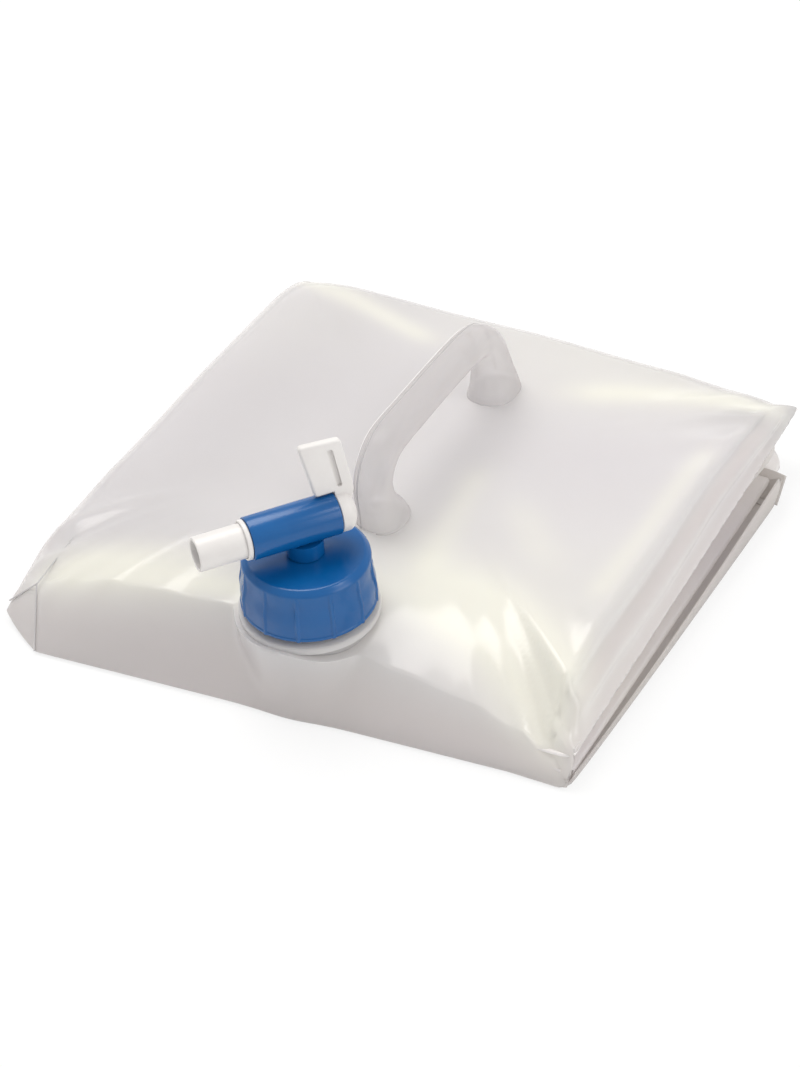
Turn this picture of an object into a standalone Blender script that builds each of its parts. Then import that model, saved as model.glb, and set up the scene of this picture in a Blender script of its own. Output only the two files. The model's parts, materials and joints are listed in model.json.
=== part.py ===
# A collapsible water carrier, folded flat, with its screw cap and lever tap on.
# Metres, +Z up. The origin is on the floor under the middle of the bag. The neck is at the front, -Y.

import math

import bmesh
import bpy
from mathutils import Matrix, Vector

# The bag: a square film cube of which the four walls fold inward along level creases.
bag_side = 0.280
film = 0.0009
corner_radius = 0.0025
top_height = 0.047
front_fold_depth = 0.076
open_lean = math.radians(2.0)

# Heights above the floor, on the folded bag, of the creases where the upper half ends on each wall.
top_crease_front = 0.0055
top_crease_side_front = 0.0145
top_crease_side_back = 0.0300
top_crease_back = 0.0255

# The same for the creases where the lower half begins.
base_crease_front = 0.0030
base_crease_side_front = 0.0085
base_crease_side_back = 0.0110
base_crease_back = 0.0150

# How far the side folds dip and rise from their creases to the middle fold on the folded bag.
side_fold_dip = 0.0025
side_fold_rise = 0.0020

# How far the shoulders of the upper half lie in from each wall.
slope_front = 0.0045
slope_right = 0.013
slope_back = 0.022
slope_left = 0.018
base_slope = 0.003

# The shoulder as shares: how far in from the wall, and how far up to the top. Then the rings
# inside it: how far out they lie, and how much of the shoulder's drop they keep.
shoulder_shares = ((0.0, 0.0), (0.06, 0.36), (0.22, 0.70), (0.52, 0.91), (1.0, 1.0))
top_ring_shares = ((0.92, 0.70), (0.80, 0.36), (0.66, 0.10), (0.48, 0.0))

# How far the front foot swells out past the wall, most at this share of the wall from the left,
# how far it hangs down towards the floor, and the swell from which it hangs down fully.
front_swell = 0.0175
swell_peak_share = 0.10
foot_hang = 0.0050
hang_swell = 0.0060

# How far the middle of each shoulder stands above the top, front, right, back and left.
shoulder_crowns = (-0.0010, 0.0035, -0.0005, -0.0010)
crown_power = 6

# How much the corners are pinched down, front right, back right, back left and front left,
# and how far the pinch reaches along the wall before the corner and along the one after it.
pinch_depths = (0.0260, 0.0110, 0.0080, 0.0080)
pinch_reaches_before = (0.150, 0.070, 0.040, 0.040)
pinch_reaches_after = (0.032, 0.060, 0.040, 0.040)
pinch_power = 1.5

# Clearances of the film.
seat_gap = 0.0003
skin_gap = 0.0002
crease_gap = 0.0015
fold_edge = 0.0012
middle_gap = 0.0006
mitre_gap = 0.0020
tuck_gap = 0.0006
corner_gap = 0.0036
crease_strip = 0.0040

# Points along each side and round each corner of the bag's outline.
side_steps = 10
corner_steps = 3

# The neck, moulded into the front of the top, leaning a little forward.
centre_line = 0.009
neck_back = 0.0146
neck_height = 0.0494
neck_tilt = math.radians(5.0)
neck_bore = 0.0410
neck_wall = 0.0028
neck_length = 0.0195
collar_drop = 0.0028
collar_height = 0.0037
collar_radius = 0.0312
boss_radius = 0.0298
boss_foot_radius = 0.0130
boss_depth = 0.0360
boss_wall = 0.0014

# The screw cap.
cap_height = 0.0255
cap_radius = 0.0282
flange_radius = 0.0300
flange_height = 0.0026
cap_edge = 0.0009
rib_count = 12
rib_height = 0.0007
rib_steps = 8
rib_width_steps = 2
rib_top_drop = 0.0030
seal_height = 0.0020
seal_width = 0.0080

# The tap across the top of the cap.
barrel_turn = math.radians(49.7)
barrel_lift = 0.0162
barrel_radius = 0.0092
barrel_back = 0.0254
barrel_front = 0.0149
port_boss_radius = 0.0074
port_radius = 0.0035
spigot_radius = 0.0058
clip_radius = 0.0080
clip_height = 0.0014

# The turning plug, which is the spout at one end and carries the lever at the other.
spout_radius = 0.0077
spout_wall = 0.0016
spout_reach = 0.0488
plug_fit = 0.0003
plug_bore_end = 0.0070
plug_end = 0.0120
stem_radius = 0.0040
collar_width = 0.0020
ring_bead = 0.0012
ring_place = 0.0100

# The lever.
lever_rise = math.radians(102.0)
lever_length = 0.0350
lever_tip_width = 0.0190
lever_root_width = 0.0060
lever_thickness = 0.0042
lever_rim = 0.0024
lever_recess = 0.0013
hub_radius = 0.0086
hub_width = 0.0061
hub_dome = 0.0024
blade_rise = 0.0010

# The boss's domed end, as shares of its radius and of the dome's height.
hub_dome_shares = ((0.0, 1.0), (0.45, 0.80), (0.80, 0.20), (1.0, -1.0))

# The carrying handle, a loop standing on the top.
handle_front = -0.0720
handle_length = 0.1540
handle_height = 0.0445
handle_width = 0.0170
handle_grip = 0.0140
handle_sides = 16

# The handle's middle line: shares of its length and height, then of its grip depth and width.
handle_shares = (
    (0.110, 0.000, 2.00, 1.41),
    (0.091, 0.128, 1.57, 1.18),
    (0.065, 0.330, 1.29, 1.03),
    (0.052, 0.555, 1.21, 1.00),
    (0.078, 0.757, 1.14, 1.00),
    (0.143, 0.881, 1.07, 1.00),
    (0.305, 0.915, 1.00, 1.00),
    (0.532, 0.937, 1.00, 1.00),
    (0.695, 0.926, 1.04, 1.00),
    (0.779, 0.847, 1.14, 1.00),
    (0.831, 0.667, 1.29, 1.00),
    (0.864, 0.420, 1.50, 1.04),
    (0.883, 0.196, 1.79, 1.18),
    (0.896, 0.000, 2.14, 1.41),
)

# Segments of the turned pieces, and one overrun for all cuts.
fine_round = 48
small_round = 32
bead_steps = 8
overrun = 0.004

# Sizes that follow from the ones above.
half_side = bag_side / 2
wall_line = half_side - skin_gap
open_angle = math.pi / 2 - open_lean
travel = 2 * front_fold_depth * math.sin(open_angle) - (top_crease_front - base_crease_front)
back_fold_depth = (travel + top_crease_back - base_crease_back) / (2 * math.sin(open_angle))
side_gap_front = top_crease_side_front - base_crease_side_front
side_gap_back = top_crease_side_back - base_crease_side_back
side_depth_front = (travel + side_gap_front) / (2 * math.sin(open_angle))
side_depth_back = (travel + side_gap_back) / (2 * math.sin(open_angle))
neck_place = Vector((centre_line, neck_back - half_side, neck_height))
neck_radius = neck_bore / 2
neck_outer = neck_radius + neck_wall
seal_floor = neck_length + seat_gap
cap_ceiling = seal_floor + seal_height + seat_gap
barrel_bore = spout_radius + plug_fit


def clear_scene():
    for item in list(bpy.data.objects):
        bpy.data.objects.remove(item, do_unlink=True)


def make_material(name, colour, roughness, alpha=1.0):
    material = bpy.data.materials.new(name)
    material.use_nodes = True
    shader = material.node_tree.nodes["Principled BSDF"]
    shader.inputs["Base Color"].default_value = (*colour, 1.0)
    shader.inputs["Roughness"].default_value = roughness
    shader.inputs["Metallic"].default_value = 0.0
    shader.inputs["Alpha"].default_value = alpha
    return material


def film_material(name):
    return make_material(name, (0.78, 0.76, 0.78), 0.28, 0.6)


def blue_material(name):
    return make_material(name, (0.010, 0.110, 0.360), 0.30)


def white_material(name):
    return make_material(name, (0.800, 0.780, 0.750), 0.35)


def rubber_material(name):
    return make_material(name, (0.060, 0.060, 0.065), 0.60)


def new_object(name, points, faces, material, parent=None):
    mesh = bpy.data.meshes.new(name)
    mesh.from_pydata([tuple(p) for p in points], [], faces)
    mesh.validate()
    item = bpy.data.objects.new(name, mesh)
    bpy.context.collection.objects.link(item)
    item.data.materials.append(material)
    item.parent = parent
    return item


def smooth(item, degrees=35.0):
    item.data.shade_smooth()
    item.data.set_sharp_from_angle(angle=math.radians(degrees))


# Stands an object's X along a crease, its Y along the fold and its Z square to both.
def place(item, origin, along, depth):
    x_axis = Vector(along).normalized()
    z_axis = x_axis.cross(Vector(depth)).normalized()
    y_axis = z_axis.cross(x_axis)
    turn = Matrix((x_axis, y_axis, z_axis)).transposed()
    item.location = origin
    item.rotation_euler = turn.to_euler()


# Cuts or joins with another object and leaves the tool out of the model.
def combine(item, tool, operation):
    tool.hide_render = True
    tool.display_type = "WIRE"
    modifier = item.modifiers.new(operation.title(), "BOOLEAN")
    modifier.operation = operation
    modifier.solver = "EXACT"
    modifier.object = tool


# The bag's outline as a ring of points, anticlockwise from the front left corner. Each point is
# given with its wall and its share along it, and a corner point with the two walls that it joins.
def outline(left, right, front, back, radius):
    ring = []
    corners = (
        (right - radius, front + radius, -90.0),
        (right - radius, back - radius, 0.0),
        (left + radius, back - radius, 90.0),
        (left + radius, front + radius, 180.0),
    )
    starts = (
        (left + radius, front),
        (right, front + radius),
        (right - radius, back),
        (left, back - radius),
    )
    ends = (
        (right - radius, front),
        (right, back - radius),
        (left + radius, back),
        (left, front + radius),
    )
    for wall in range(4):
        for step in range(side_steps + 1):
            share = step / side_steps
            x = starts[wall][0] + (ends[wall][0] - starts[wall][0]) * share
            y = starts[wall][1] + (ends[wall][1] - starts[wall][1]) * share
            ring.append((x, y, wall, share, False))
        middle_x, middle_y, begin = corners[wall]
        for step in range(1, corner_steps):
            share = step / corner_steps
            angle = math.radians(begin + 90.0 * share)
            x = middle_x + radius * math.cos(angle)
            y = middle_y + radius * math.sin(angle)
            ring.append((x, y, wall, share, True))
    return ring


def crease_height(point, front, side_front, side_back, back):
    starts = (front, side_front, back, side_back)
    ends = (front, side_back, back, side_front)
    wall = point[2]
    share = point[3]
    if point[4]:
        return ends[wall] + (starts[(wall + 1) % 4] - ends[wall]) * share
    return starts[wall] + (ends[wall] - starts[wall]) * share


# How far the shoulder stands below the top: pinched down near the corners, crowned between them.
def shoulder_drop(point):
    wall = point[2]
    share = point[3]
    if point[4]:
        return pinch_depths[wall]
    to_end = (1.0 - share) * bag_side
    to_start = share * bag_side
    at_end = max(0.0, 1.0 - to_end / pinch_reaches_before[wall]) ** pinch_power
    at_start = max(0.0, 1.0 - to_start / pinch_reaches_after[wall - 1]) ** pinch_power
    pinch = pinch_depths[wall] * at_end + pinch_depths[wall - 1] * at_start
    crown = shoulder_crowns[wall] * (1.0 - abs(2.0 * share - 1.0) ** crown_power)
    return pinch - crown


# How far the foot of the front wall's upper half swells out past the wall.
def swell(point):
    share = point[3]
    if point[2] != 0 or point[4]:
        return 0.0
    if share < swell_peak_share:
        return front_swell * share / swell_peak_share
    return front_swell * (1.0 - share) / (1.0 - swell_peak_share)


def top_rings(skin, hull_foot=None):
    rings = []
    for inset_share, height_share in shoulder_shares:
        ring = []
        points = outline(
            -half_side + skin + slope_left * inset_share,
            half_side - skin - slope_right * inset_share,
            -half_side + skin + slope_front * inset_share,
            half_side - skin - slope_back * inset_share,
            corner_radius - skin,
        )
        for point in points:
            foot = crease_height(
                point, top_crease_front, top_crease_side_front, top_crease_side_back, top_crease_back
            )
            foot += crease_gap - foot_hang * min(1.0, swell(point) / hang_swell)
            head = top_height - skin - shoulder_drop(point)
            height = foot + (head - foot) * height_share
            ring.append((point[0], point[1] - swell(point) * (1.0 - height_share), height))
        rings.append(ring)
    if hull_foot is not None:
        rings.insert(0, [(x, y, -hull_foot) for x, y, z in rings[0]])
    shoulder = rings[-1]
    middle_x = (slope_left - slope_right) / 2
    middle_y = (slope_front - slope_back) / 2
    for ring_share, drop_share in top_ring_shares:
        ring = []
        for x, y, z in shoulder:
            flat_x = middle_x + (x - middle_x) * ring_share
            flat_y = middle_y + (y - middle_y) * ring_share
            level = top_height - skin
            ring.append((flat_x, flat_y, level + (z - level) * drop_share))
        rings.append(ring)
    return rings


# Three-sided faces between the rings, so that two skins of one shape split alike.
def join_rings(rings, outward=True, first=0):
    faces = []
    size = len(rings[0])
    for level in range(len(rings) - 1):
        for step in range(size):
            a = first + level * size + step
            b = first + level * size + (step + 1) % size
            c = b + size
            d = a + size
            faces.append((a, b, c) if outward else (a, c, b))
            faces.append((a, c, d) if outward else (a, d, c))
    return faces


def build_top_film():
    outer = top_rings(0.0)
    inner = top_rings(film)
    size = len(outer[0])
    count = size * len(outer)
    points = [p for ring in outer + inner for p in ring]
    faces = join_rings(outer, True) + join_rings(inner, False, count)
    faces.append(tuple(range(count - size, count)))
    faces.append(tuple(reversed(range(2 * count - size, 2 * count))))
    for step in range(size):
        following = (step + 1) % size
        faces.append((following, step, count + step, count + following))
    item = new_object("top_film", points, faces, film_material("top film"))
    cutter = turned(
        "neck_hole",
        (
            (0.0, overrun),
            (boss_radius - boss_wall - crease_gap, overrun),
            (boss_radius - boss_wall - crease_gap, -collar_drop - collar_height),
            (boss_foot_radius - boss_wall - crease_gap, -collar_drop - collar_height - boss_depth),
            (0.0, -collar_drop - collar_height - boss_depth),
        ),
        small_round,
        film_material("neck hole"),
    )
    stand_on_neck(cutter)
    combine(item, cutter, "DIFFERENCE")
    smooth(item)
    return item


def build_base_film():
    rings = []
    for skin, inward in ((0.0, base_slope), (0.0, 0.0), (film, 0.0), (film, base_slope)):
        edge = half_side - skin - inward
        ring = []
        for point in outline(-edge, edge, -edge, edge, corner_radius - skin):
            crease = crease_height(
                point, base_crease_front, base_crease_side_front, base_crease_side_back, base_crease_back
            )
            height = crease - crease_gap if inward == 0.0 else skin
            ring.append((point[0], point[1], height))
        rings.append(ring)
    size = len(rings[0])
    points = [p for ring in rings for p in ring]
    faces = join_rings(rings)
    faces.append(tuple(reversed(range(size))))
    faces.append(tuple(range(3 * size, 4 * size)))
    item = new_object("base_film", points, faces, film_material("base film"))
    smooth(item)
    return item


# A flat piece of film: an outline along the crease and inward, on one side of the fold's plane.
def film_patch(name, shape, side, material):
    low = min(side * skin_gap, side * (skin_gap + film))
    count = len(shape)
    points = [(x, y, low) for x, y in shape] + [(x, y, low + film) for x, y in shape]
    faces = [tuple(reversed(range(count))), tuple(range(count, 2 * count))]
    for step in range(count):
        following = (step + 1) % count
        faces.append((step, following, count + following, count + step))
    return new_object(name, points, faces, material)


# One half of a wall. The fold proper is mitred at both ends, so that it never meets the next wall's.
# The tuck is the strip along the crease with the two corners that crumple as the bag folds.
def build_fold(name, origin, along, inward, lean, depth_start, depth_end, side, start_lean, end_lean):
    length = Vector(along).length
    half = length / 2
    rate = (depth_end - depth_start) / length
    first = (depth_start + rate * mitre_gap) / (1.0 - rate)
    last = (depth_end - rate * mitre_gap) / (1.0 + rate)
    strip = fold_edge + crease_strip
    fold_start = -half + mitre_gap
    fold_end = half - mitre_gap
    fold = (
        (fold_start + strip + tuck_gap, strip + tuck_gap),
        (fold_end - strip - tuck_gap, strip + tuck_gap),
        (fold_end - last, last - middle_gap),
        (fold_start + first, first - middle_gap),
    )
    tuck = (
        (-half + corner_gap, fold_edge),
        (half - corner_gap, fold_edge),
        (half - corner_gap - depth_end * end_lean, depth_end - middle_gap),
        (fold_end + tuck_gap - last, last - middle_gap),
        (fold_end + tuck_gap - strip, strip),
        (fold_start - tuck_gap + strip, strip),
        (fold_start - tuck_gap + first, first - middle_gap),
        (-half + corner_gap + depth_start * start_lean, depth_start - middle_gap),
    )
    level = Vector(inward)
    rise = Vector(along).normalized().cross(level).normalized()
    depth = level * math.cos(lean) - rise * math.sin(lean) * side
    for piece_name, shape in (("fold", fold), ("tuck", tuck)):
        label = f"{name}_{piece_name}"
        item = film_patch(label, shape, side, film_material(label.replace("_", " ")))
        place(item, origin, along, depth)


def build_folds():
    front_lean = math.asin((top_crease_front - base_crease_front) / (2 * front_fold_depth))
    back_lean = math.asin((top_crease_back - base_crease_back) / (2 * back_fold_depth))
    side_middle = (side_depth_front + side_depth_back) / 2
    upper_lean = math.asin(side_fold_dip / side_middle)
    lower_lean = math.asin(side_fold_rise / side_middle)
    level = Vector((2 * wall_line, 0.0, 0.0))
    front = front_fold_depth
    back = back_fold_depth
    for name, height, side in (("upper", top_crease_front, 1), ("lower", base_crease_front, -1)):
        place_now = Vector((0.0, -wall_line, height))
        build_fold(f"front_{name}", place_now, level, (0, 1, 0), front_lean, front, front, side, 0, 0)
    for name, height, side in (("upper", top_crease_back, 1), ("lower", base_crease_back, -1)):
        place_now = Vector((0.0, wall_line, height))
        build_fold(f"back_{name}", place_now, -level, (0, -1, 0), back_lean, back, back, side, 0, 0)
    ends = (
        ("upper", top_crease_side_front, top_crease_side_back, upper_lean, 1),
        ("lower", base_crease_side_front, base_crease_side_back, lower_lean, -1),
    )
    for name, low_end, high_end, lean, side in ends:
        climb = Vector((0.0, 2 * wall_line, high_end - low_end))
        middle = (low_end + high_end) / 2
        slant = (high_end - low_end) / (2 * wall_line)
        near_lean = max(0.0, -slant * side)
        far_lean = max(0.0, slant * side)
        right = Vector((wall_line, 0.0, middle))
        left = Vector((-wall_line, 0.0, middle))
        near = side_depth_front
        far = side_depth_back
        build_fold(f"right_{name}", right, climb, (-1, 0, 0), lean, near, far, side, near_lean, far_lean)
        build_fold(f"left_{name}", left, -climb, (1, 0, 0), lean, far, near, side, far_lean, near_lean)


# A turned piece about Z from a profile of radius and height, run down its outer side.
# A profile that starts and ends on the axis closes there, and any other is a ring.
def turned(name, profile, segments, material, swell=None):
    on_axis = profile[0][0] == 0.0
    points = []
    rows = []
    for index, (radius, height) in enumerate(profile):
        if radius == 0.0:
            rows.append([len(points)])
            points.append((0.0, 0.0, height))
            continue
        row = []
        for step in range(segments):
            angle = 2 * math.pi * step / segments
            grown = radius + (swell(index, step) if swell else 0.0)
            row.append(len(points))
            points.append((grown * math.cos(angle), grown * math.sin(angle), height))
        rows.append(row)
    faces = []
    pairs = list(zip(rows, rows[1:]))
    if not on_axis:
        pairs.append((rows[-1], rows[0]))
    for upper, lower in pairs:
        for step in range(segments):
            following = (step + 1) % segments
            face = [
                upper[following % len(upper)],
                upper[step % len(upper)],
                lower[step % len(lower)],
                lower[following % len(lower)],
            ]
            faces.append(tuple(dict.fromkeys(face)))
    return new_object(name, points, faces, material)


# The neck's frame: Z up the leaning neck, from the plane where the cap's flange ends.
def stand_on_neck(item):
    item.location = neck_place
    item.rotation_euler = (neck_tilt, 0.0, 0.0)


def build_neck():
    collar_foot = -collar_drop - collar_height
    boss_foot = collar_foot - boss_depth
    profile = (
        (neck_outer, neck_length),
        (neck_outer, -collar_drop),
        (collar_radius, -collar_drop),
        (collar_radius, collar_foot),
        (boss_radius, collar_foot),
        (boss_foot_radius, boss_foot),
        (boss_foot_radius - boss_wall, boss_foot),
        (boss_radius - boss_wall, collar_foot),
        (neck_radius, collar_foot + boss_wall),
        (neck_radius, neck_length),
    )
    item = turned("neck", profile, fine_round, film_material("neck"))
    stand_on_neck(item)
    rings = top_rings(-seat_gap, overrun)
    size = len(rings[0])
    points = [p for ring in rings for p in ring]
    faces = join_rings(rings)
    faces.append(tuple(range(len(points) - size, len(points))))
    faces.append(tuple(reversed(range(size))))
    hull = new_object("bag_hull", points, faces, film_material("bag hull"))
    combine(item, hull, "DIFFERENCE")
    smooth(item)
    return item


def build_cap():
    # The ribs stand out of the side between the flange and just under the edge.
    def ribs(index, step):
        on_rib = step % rib_steps <= rib_width_steps
        return rib_height if index in (2, 3) and on_rib else 0.0

    profile = (
        (spigot_radius + seat_gap, cap_height),
        (cap_radius - cap_edge, cap_height),
        (cap_radius, cap_height - cap_edge - rib_top_drop),
        (cap_radius, flange_height + cap_edge),
        (flange_radius, flange_height),
        (flange_radius, 0.0),
        (neck_outer + seat_gap, 0.0),
        (neck_outer + seat_gap, cap_ceiling),
        (spigot_radius + seat_gap, cap_ceiling),
    )
    edge = (cap_radius - cap_edge / 3, cap_height - cap_edge / 3)
    shoulder = (cap_radius, cap_height - cap_edge)
    profile = profile[:2] + (edge, shoulder) + profile[2:]

    def raised(index, step):
        return ribs(index - 2, step)

    item = turned("screw_cap", profile, rib_count * rib_steps, blue_material("cap blue"), raised)
    stand_on_neck(item)
    smooth(item)
    return item


def build_seal():
    profile = (
        (neck_outer - seat_gap - seal_width, seal_floor + seal_height),
        (neck_outer - seat_gap, seal_floor + seal_height),
        (neck_outer - seat_gap, seal_floor),
        (neck_outer - seat_gap - seal_width, seal_floor),
    )
    item = turned("cap_seal", profile, small_round, rubber_material("seal"))
    stand_on_neck(item)
    smooth(item)
    return item


# The tap's frame: Z along the barrel, towards the lever, with Y up the neck's axis.
def tap_frame():
    lean = Matrix.Rotation(neck_tilt, 3, "X")
    axis = lean @ Vector((math.cos(barrel_turn), math.sin(barrel_turn), 0.0))
    up = lean @ Vector((0.0, 0.0, 1.0))
    centre = neck_place + up * (cap_height + barrel_lift)
    return centre, axis, up


def stand_on_tap(item, turn=0.0):
    centre, axis, up = tap_frame()
    sideways = up.cross(axis)
    basis = Matrix((sideways, up, axis)).transposed()
    item.location = centre
    item.rotation_euler = (basis @ Matrix.Rotation(turn, 3, "Z")).to_euler()


# A round cutter or boss across the barrel, from one height to another below the axis.
def cross_round(name, radius, top, foot, material):
    profile = ((0.0, top), (radius, top), (radius, foot), (0.0, foot))
    item = turned(name, profile, small_round, material)
    item.data.transform(Matrix.Rotation(-math.pi / 2, 4, "X"))
    return item


def build_barrel():
    profile = (
        (0.0, barrel_front),
        (barrel_radius - cap_edge / 2, barrel_front),
        (barrel_radius, barrel_front - cap_edge / 2),
        (barrel_radius, cap_edge / 2 - barrel_back),
        (barrel_radius - cap_edge / 2, -barrel_back),
        (0.0, -barrel_back),
    )
    item = turned("tap_barrel", profile, fine_round, blue_material("tap blue"))
    stand_on_tap(item)
    inside_clip = cap_height - cap_ceiling
    boss_profile = (
        (0.0, -spout_radius),
        (port_boss_radius, -spout_radius),
        (port_boss_radius, -barrel_lift + seat_gap),
        (spigot_radius, -barrel_lift + seat_gap),
        (spigot_radius, -barrel_lift - inside_clip - seat_gap),
        (clip_radius, -barrel_lift - inside_clip - seat_gap),
        (clip_radius, -barrel_lift - inside_clip - seat_gap - clip_height),
        (0.0, -barrel_lift - inside_clip - seat_gap - clip_height),
    )
    boss = turned("port_boss", boss_profile, small_round, blue_material("port blue"))
    boss.data.transform(Matrix.Rotation(-math.pi / 2, 4, "X"))
    stand_on_tap(boss)
    port_end = -barrel_lift - inside_clip - seat_gap - clip_height - overrun
    port = cross_round("port_cut", port_radius, 0.0, port_end, blue_material("port cut"))
    stand_on_tap(port)
    bore = turned(
        "bore_cut",
        (
            (0.0, barrel_front + overrun),
            (barrel_bore, barrel_front + overrun),
            (barrel_bore, -barrel_back - overrun),
            (0.0, -barrel_back - overrun),
        ),
        fine_round,
        blue_material("bore cut"),
    )
    stand_on_tap(bore)
    combine(item, boss, "UNION")
    combine(item, port, "DIFFERENCE")
    combine(item, bore, "DIFFERENCE")
    smooth(item)
    return item


def build_plug(root):
    groove = ring_bead + seat_gap
    hollow = spout_radius - spout_wall
    profile = [(0.0, plug_end + hub_width), (stem_radius, plug_end + hub_width), (stem_radius, plug_end)]
    profile.append((spout_radius, plug_end))
    for place_on_axis in (ring_place, -ring_place):
        profile.append((spout_radius, place_on_axis + groove))
        profile.append((spout_radius - ring_bead, place_on_axis + groove))
        profile.append((spout_radius - ring_bead, place_on_axis - groove))
        profile.append((spout_radius, place_on_axis - groove))
    profile.append((spout_radius, -spout_reach))
    profile.append((hollow, -spout_reach))
    profile.append((hollow, -ring_place - 2 * groove))
    profile.append((hollow - ring_bead, -ring_place))
    profile.append((hollow - ring_bead, plug_bore_end))
    profile.append((0.0, plug_bore_end))
    item = turned("spout_plug", profile, small_round, white_material("spout white"))
    stand_on_tap(item)
    port = turned(
        "plug_port",
        (
            (0.0, 0.0),
            (port_radius, 0.0),
            (port_radius, -spout_radius - overrun),
            (0.0, -spout_radius - overrun),
        ),
        small_round,
        white_material("plug port"),
    )
    port.data.transform(Matrix.Rotation(-math.pi / 2, 4, "X"))
    stand_on_tap(port, -math.pi / 2)
    combine(item, port, "DIFFERENCE")
    smooth(item)
    item.parent = root
    item.matrix_parent_inverse = root.matrix_basis.inverted()
    return item


def build_ring(name, place_on_axis, root):
    inner = spout_radius - ring_bead + seat_gap / 2
    outer = spout_radius + plug_fit / 3
    half = (outer - inner) / 2
    middle = (outer + inner) / 2
    profile = []
    for step in range(bead_steps):
        angle = -2 * math.pi * step / bead_steps
        profile.append((middle + half * math.cos(angle), place_on_axis + half * math.sin(angle)))
    item = turned(name, profile, small_round, rubber_material(name.replace("_", " ")))
    stand_on_tap(item)
    smooth(item, 60.0)
    item.parent = root
    item.matrix_parent_inverse = root.matrix_basis.inverted()
    return item


def build_spout_collar(root):
    inner = spout_radius + seat_gap
    near = -barrel_back - seat_gap
    far = near - collar_width
    profile = ((inner, near), (barrel_radius, near), (barrel_radius, far), (inner, far))
    item = turned("spout_collar", profile, fine_round, white_material("collar white"))
    stand_on_tap(item)
    smooth(item)
    item.parent = root
    item.matrix_parent_inverse = root.matrix_basis.inverted()
    return item


def build_lever(root):
    near = barrel_front + seat_gap
    far = near + hub_width
    socket_radius = stem_radius + seat_gap
    socket_end = plug_end + hub_width + seat_gap
    dome = [(hub_radius * out, far + hub_dome * rise) for out, rise in hub_dome_shares]
    profile = (
        *dome,
        (hub_radius, near),
        (socket_radius, near),
        (socket_radius, socket_end),
        (0.0, socket_end),
    )
    item = turned("lever", profile, small_round, white_material("lever white"))
    stand_on_tap(item)
    half = lever_thickness / 2
    tip_left = far - lever_tip_width
    root_left = far - lever_root_width
    root_foot = socket_radius
    shape = (
        (root_left, root_foot),
        (far, root_foot),
        (far, lever_length),
        (tip_left, lever_length),
        (root_left, barrel_radius + blade_rise),
    )
    blade = build_blade("lever_blade", shape, -half, half)
    inner_shape = (
        (root_left + lever_rim, barrel_radius + lever_rim + blade_rise),
        (far - lever_rim, barrel_radius + lever_rim),
        (far - lever_rim, lever_length - lever_rim / 2),
        (tip_left + lever_rim, lever_length - lever_rim / 2),
    )
    recess = build_blade("lever_recess_cut", inner_shape, -half - overrun, lever_recess - half)
    angle = lever_rise - math.pi
    for piece in (blade, recess):
        stand_on_tap(piece, angle)
    combine(item, blade, "UNION")
    combine(item, recess, "DIFFERENCE")
    smooth(item)
    item.parent = root
    item.matrix_parent_inverse = root.matrix_basis.inverted()
    return item


# A flat blade in the plane of the tap's axis: places along the axis and out from it.
def build_blade(name, shape, low, high):
    count = len(shape)
    points = [(-reach, low, along) for along, reach in shape]
    points += [(-reach, high, along) for along, reach in shape]
    faces = [tuple(range(count)), tuple(reversed(range(count, 2 * count)))]
    for step in range(count):
        following = (step + 1) % count
        faces.append((following, step, count + step, count + following))
    item = new_object(name, points, faces, white_material(name.replace("_", " ")))
    mesh = bmesh.new()
    mesh.from_mesh(item.data)
    bmesh.ops.recalc_face_normals(mesh, faces=mesh.faces)
    mesh.to_mesh(item.data)
    mesh.free()
    return item


# The handle: oval rings along its middle line, the first and the last flat on the top.
def build_handle():
    foot = top_height + seat_gap
    line = []
    for y_share, z_share, depth_share, width_share in handle_shares:
        y = handle_front + handle_length * y_share
        z = foot + handle_height * z_share
        line.append((y, z, handle_grip * depth_share / 2, handle_width * width_share / 2))
    points = []
    count = len(line)
    for index, (y, z, depth, width) in enumerate(line):
        before = line[max(index - 1, 0)]
        after = line[min(index + 1, count - 1)]
        run = Vector((after[0] - before[0], after[1] - before[1])).normalized()
        if index == 0:
            run = Vector((0.0, 1.0))
        if index == count - 1:
            run = Vector((0.0, -1.0))
        for step in range(handle_sides):
            angle = 2 * math.pi * step / handle_sides
            across = width * math.cos(angle)
            out = depth * math.sin(angle)
            points.append((centre_line + across, y - run.y * out, z + run.x * out))
    faces = []
    for index in range(count - 1):
        for step in range(handle_sides):
            a = index * handle_sides + step
            b = index * handle_sides + (step + 1) % handle_sides
            faces.append((a, a + handle_sides, b + handle_sides, b))
    faces.append(tuple(range(handle_sides)))
    faces.append(tuple(reversed(range((count - 1) * handle_sides, count * handle_sides))))
    item = new_object("handle", points, faces, film_material("handle"))
    smooth(item, 60.0)
    return item


def build_tap():
    build_barrel()
    root = bpy.data.objects.new("tap_turn", None)
    bpy.context.collection.objects.link(root)
    stand_on_tap(root)
    build_plug(root)
    build_ring("plug_ring_front", -ring_place, root)
    build_ring("plug_ring_rear", ring_place, root)
    build_spout_collar(root)
    build_lever(root)


def main():
    clear_scene()
    build_top_film()
    build_base_film()
    build_folds()
    build_neck()
    build_seal()
    build_cap()
    build_tap()
    build_handle()
    print("folds when open", round(travel, 5))


main()
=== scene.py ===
import json
import math

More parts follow.
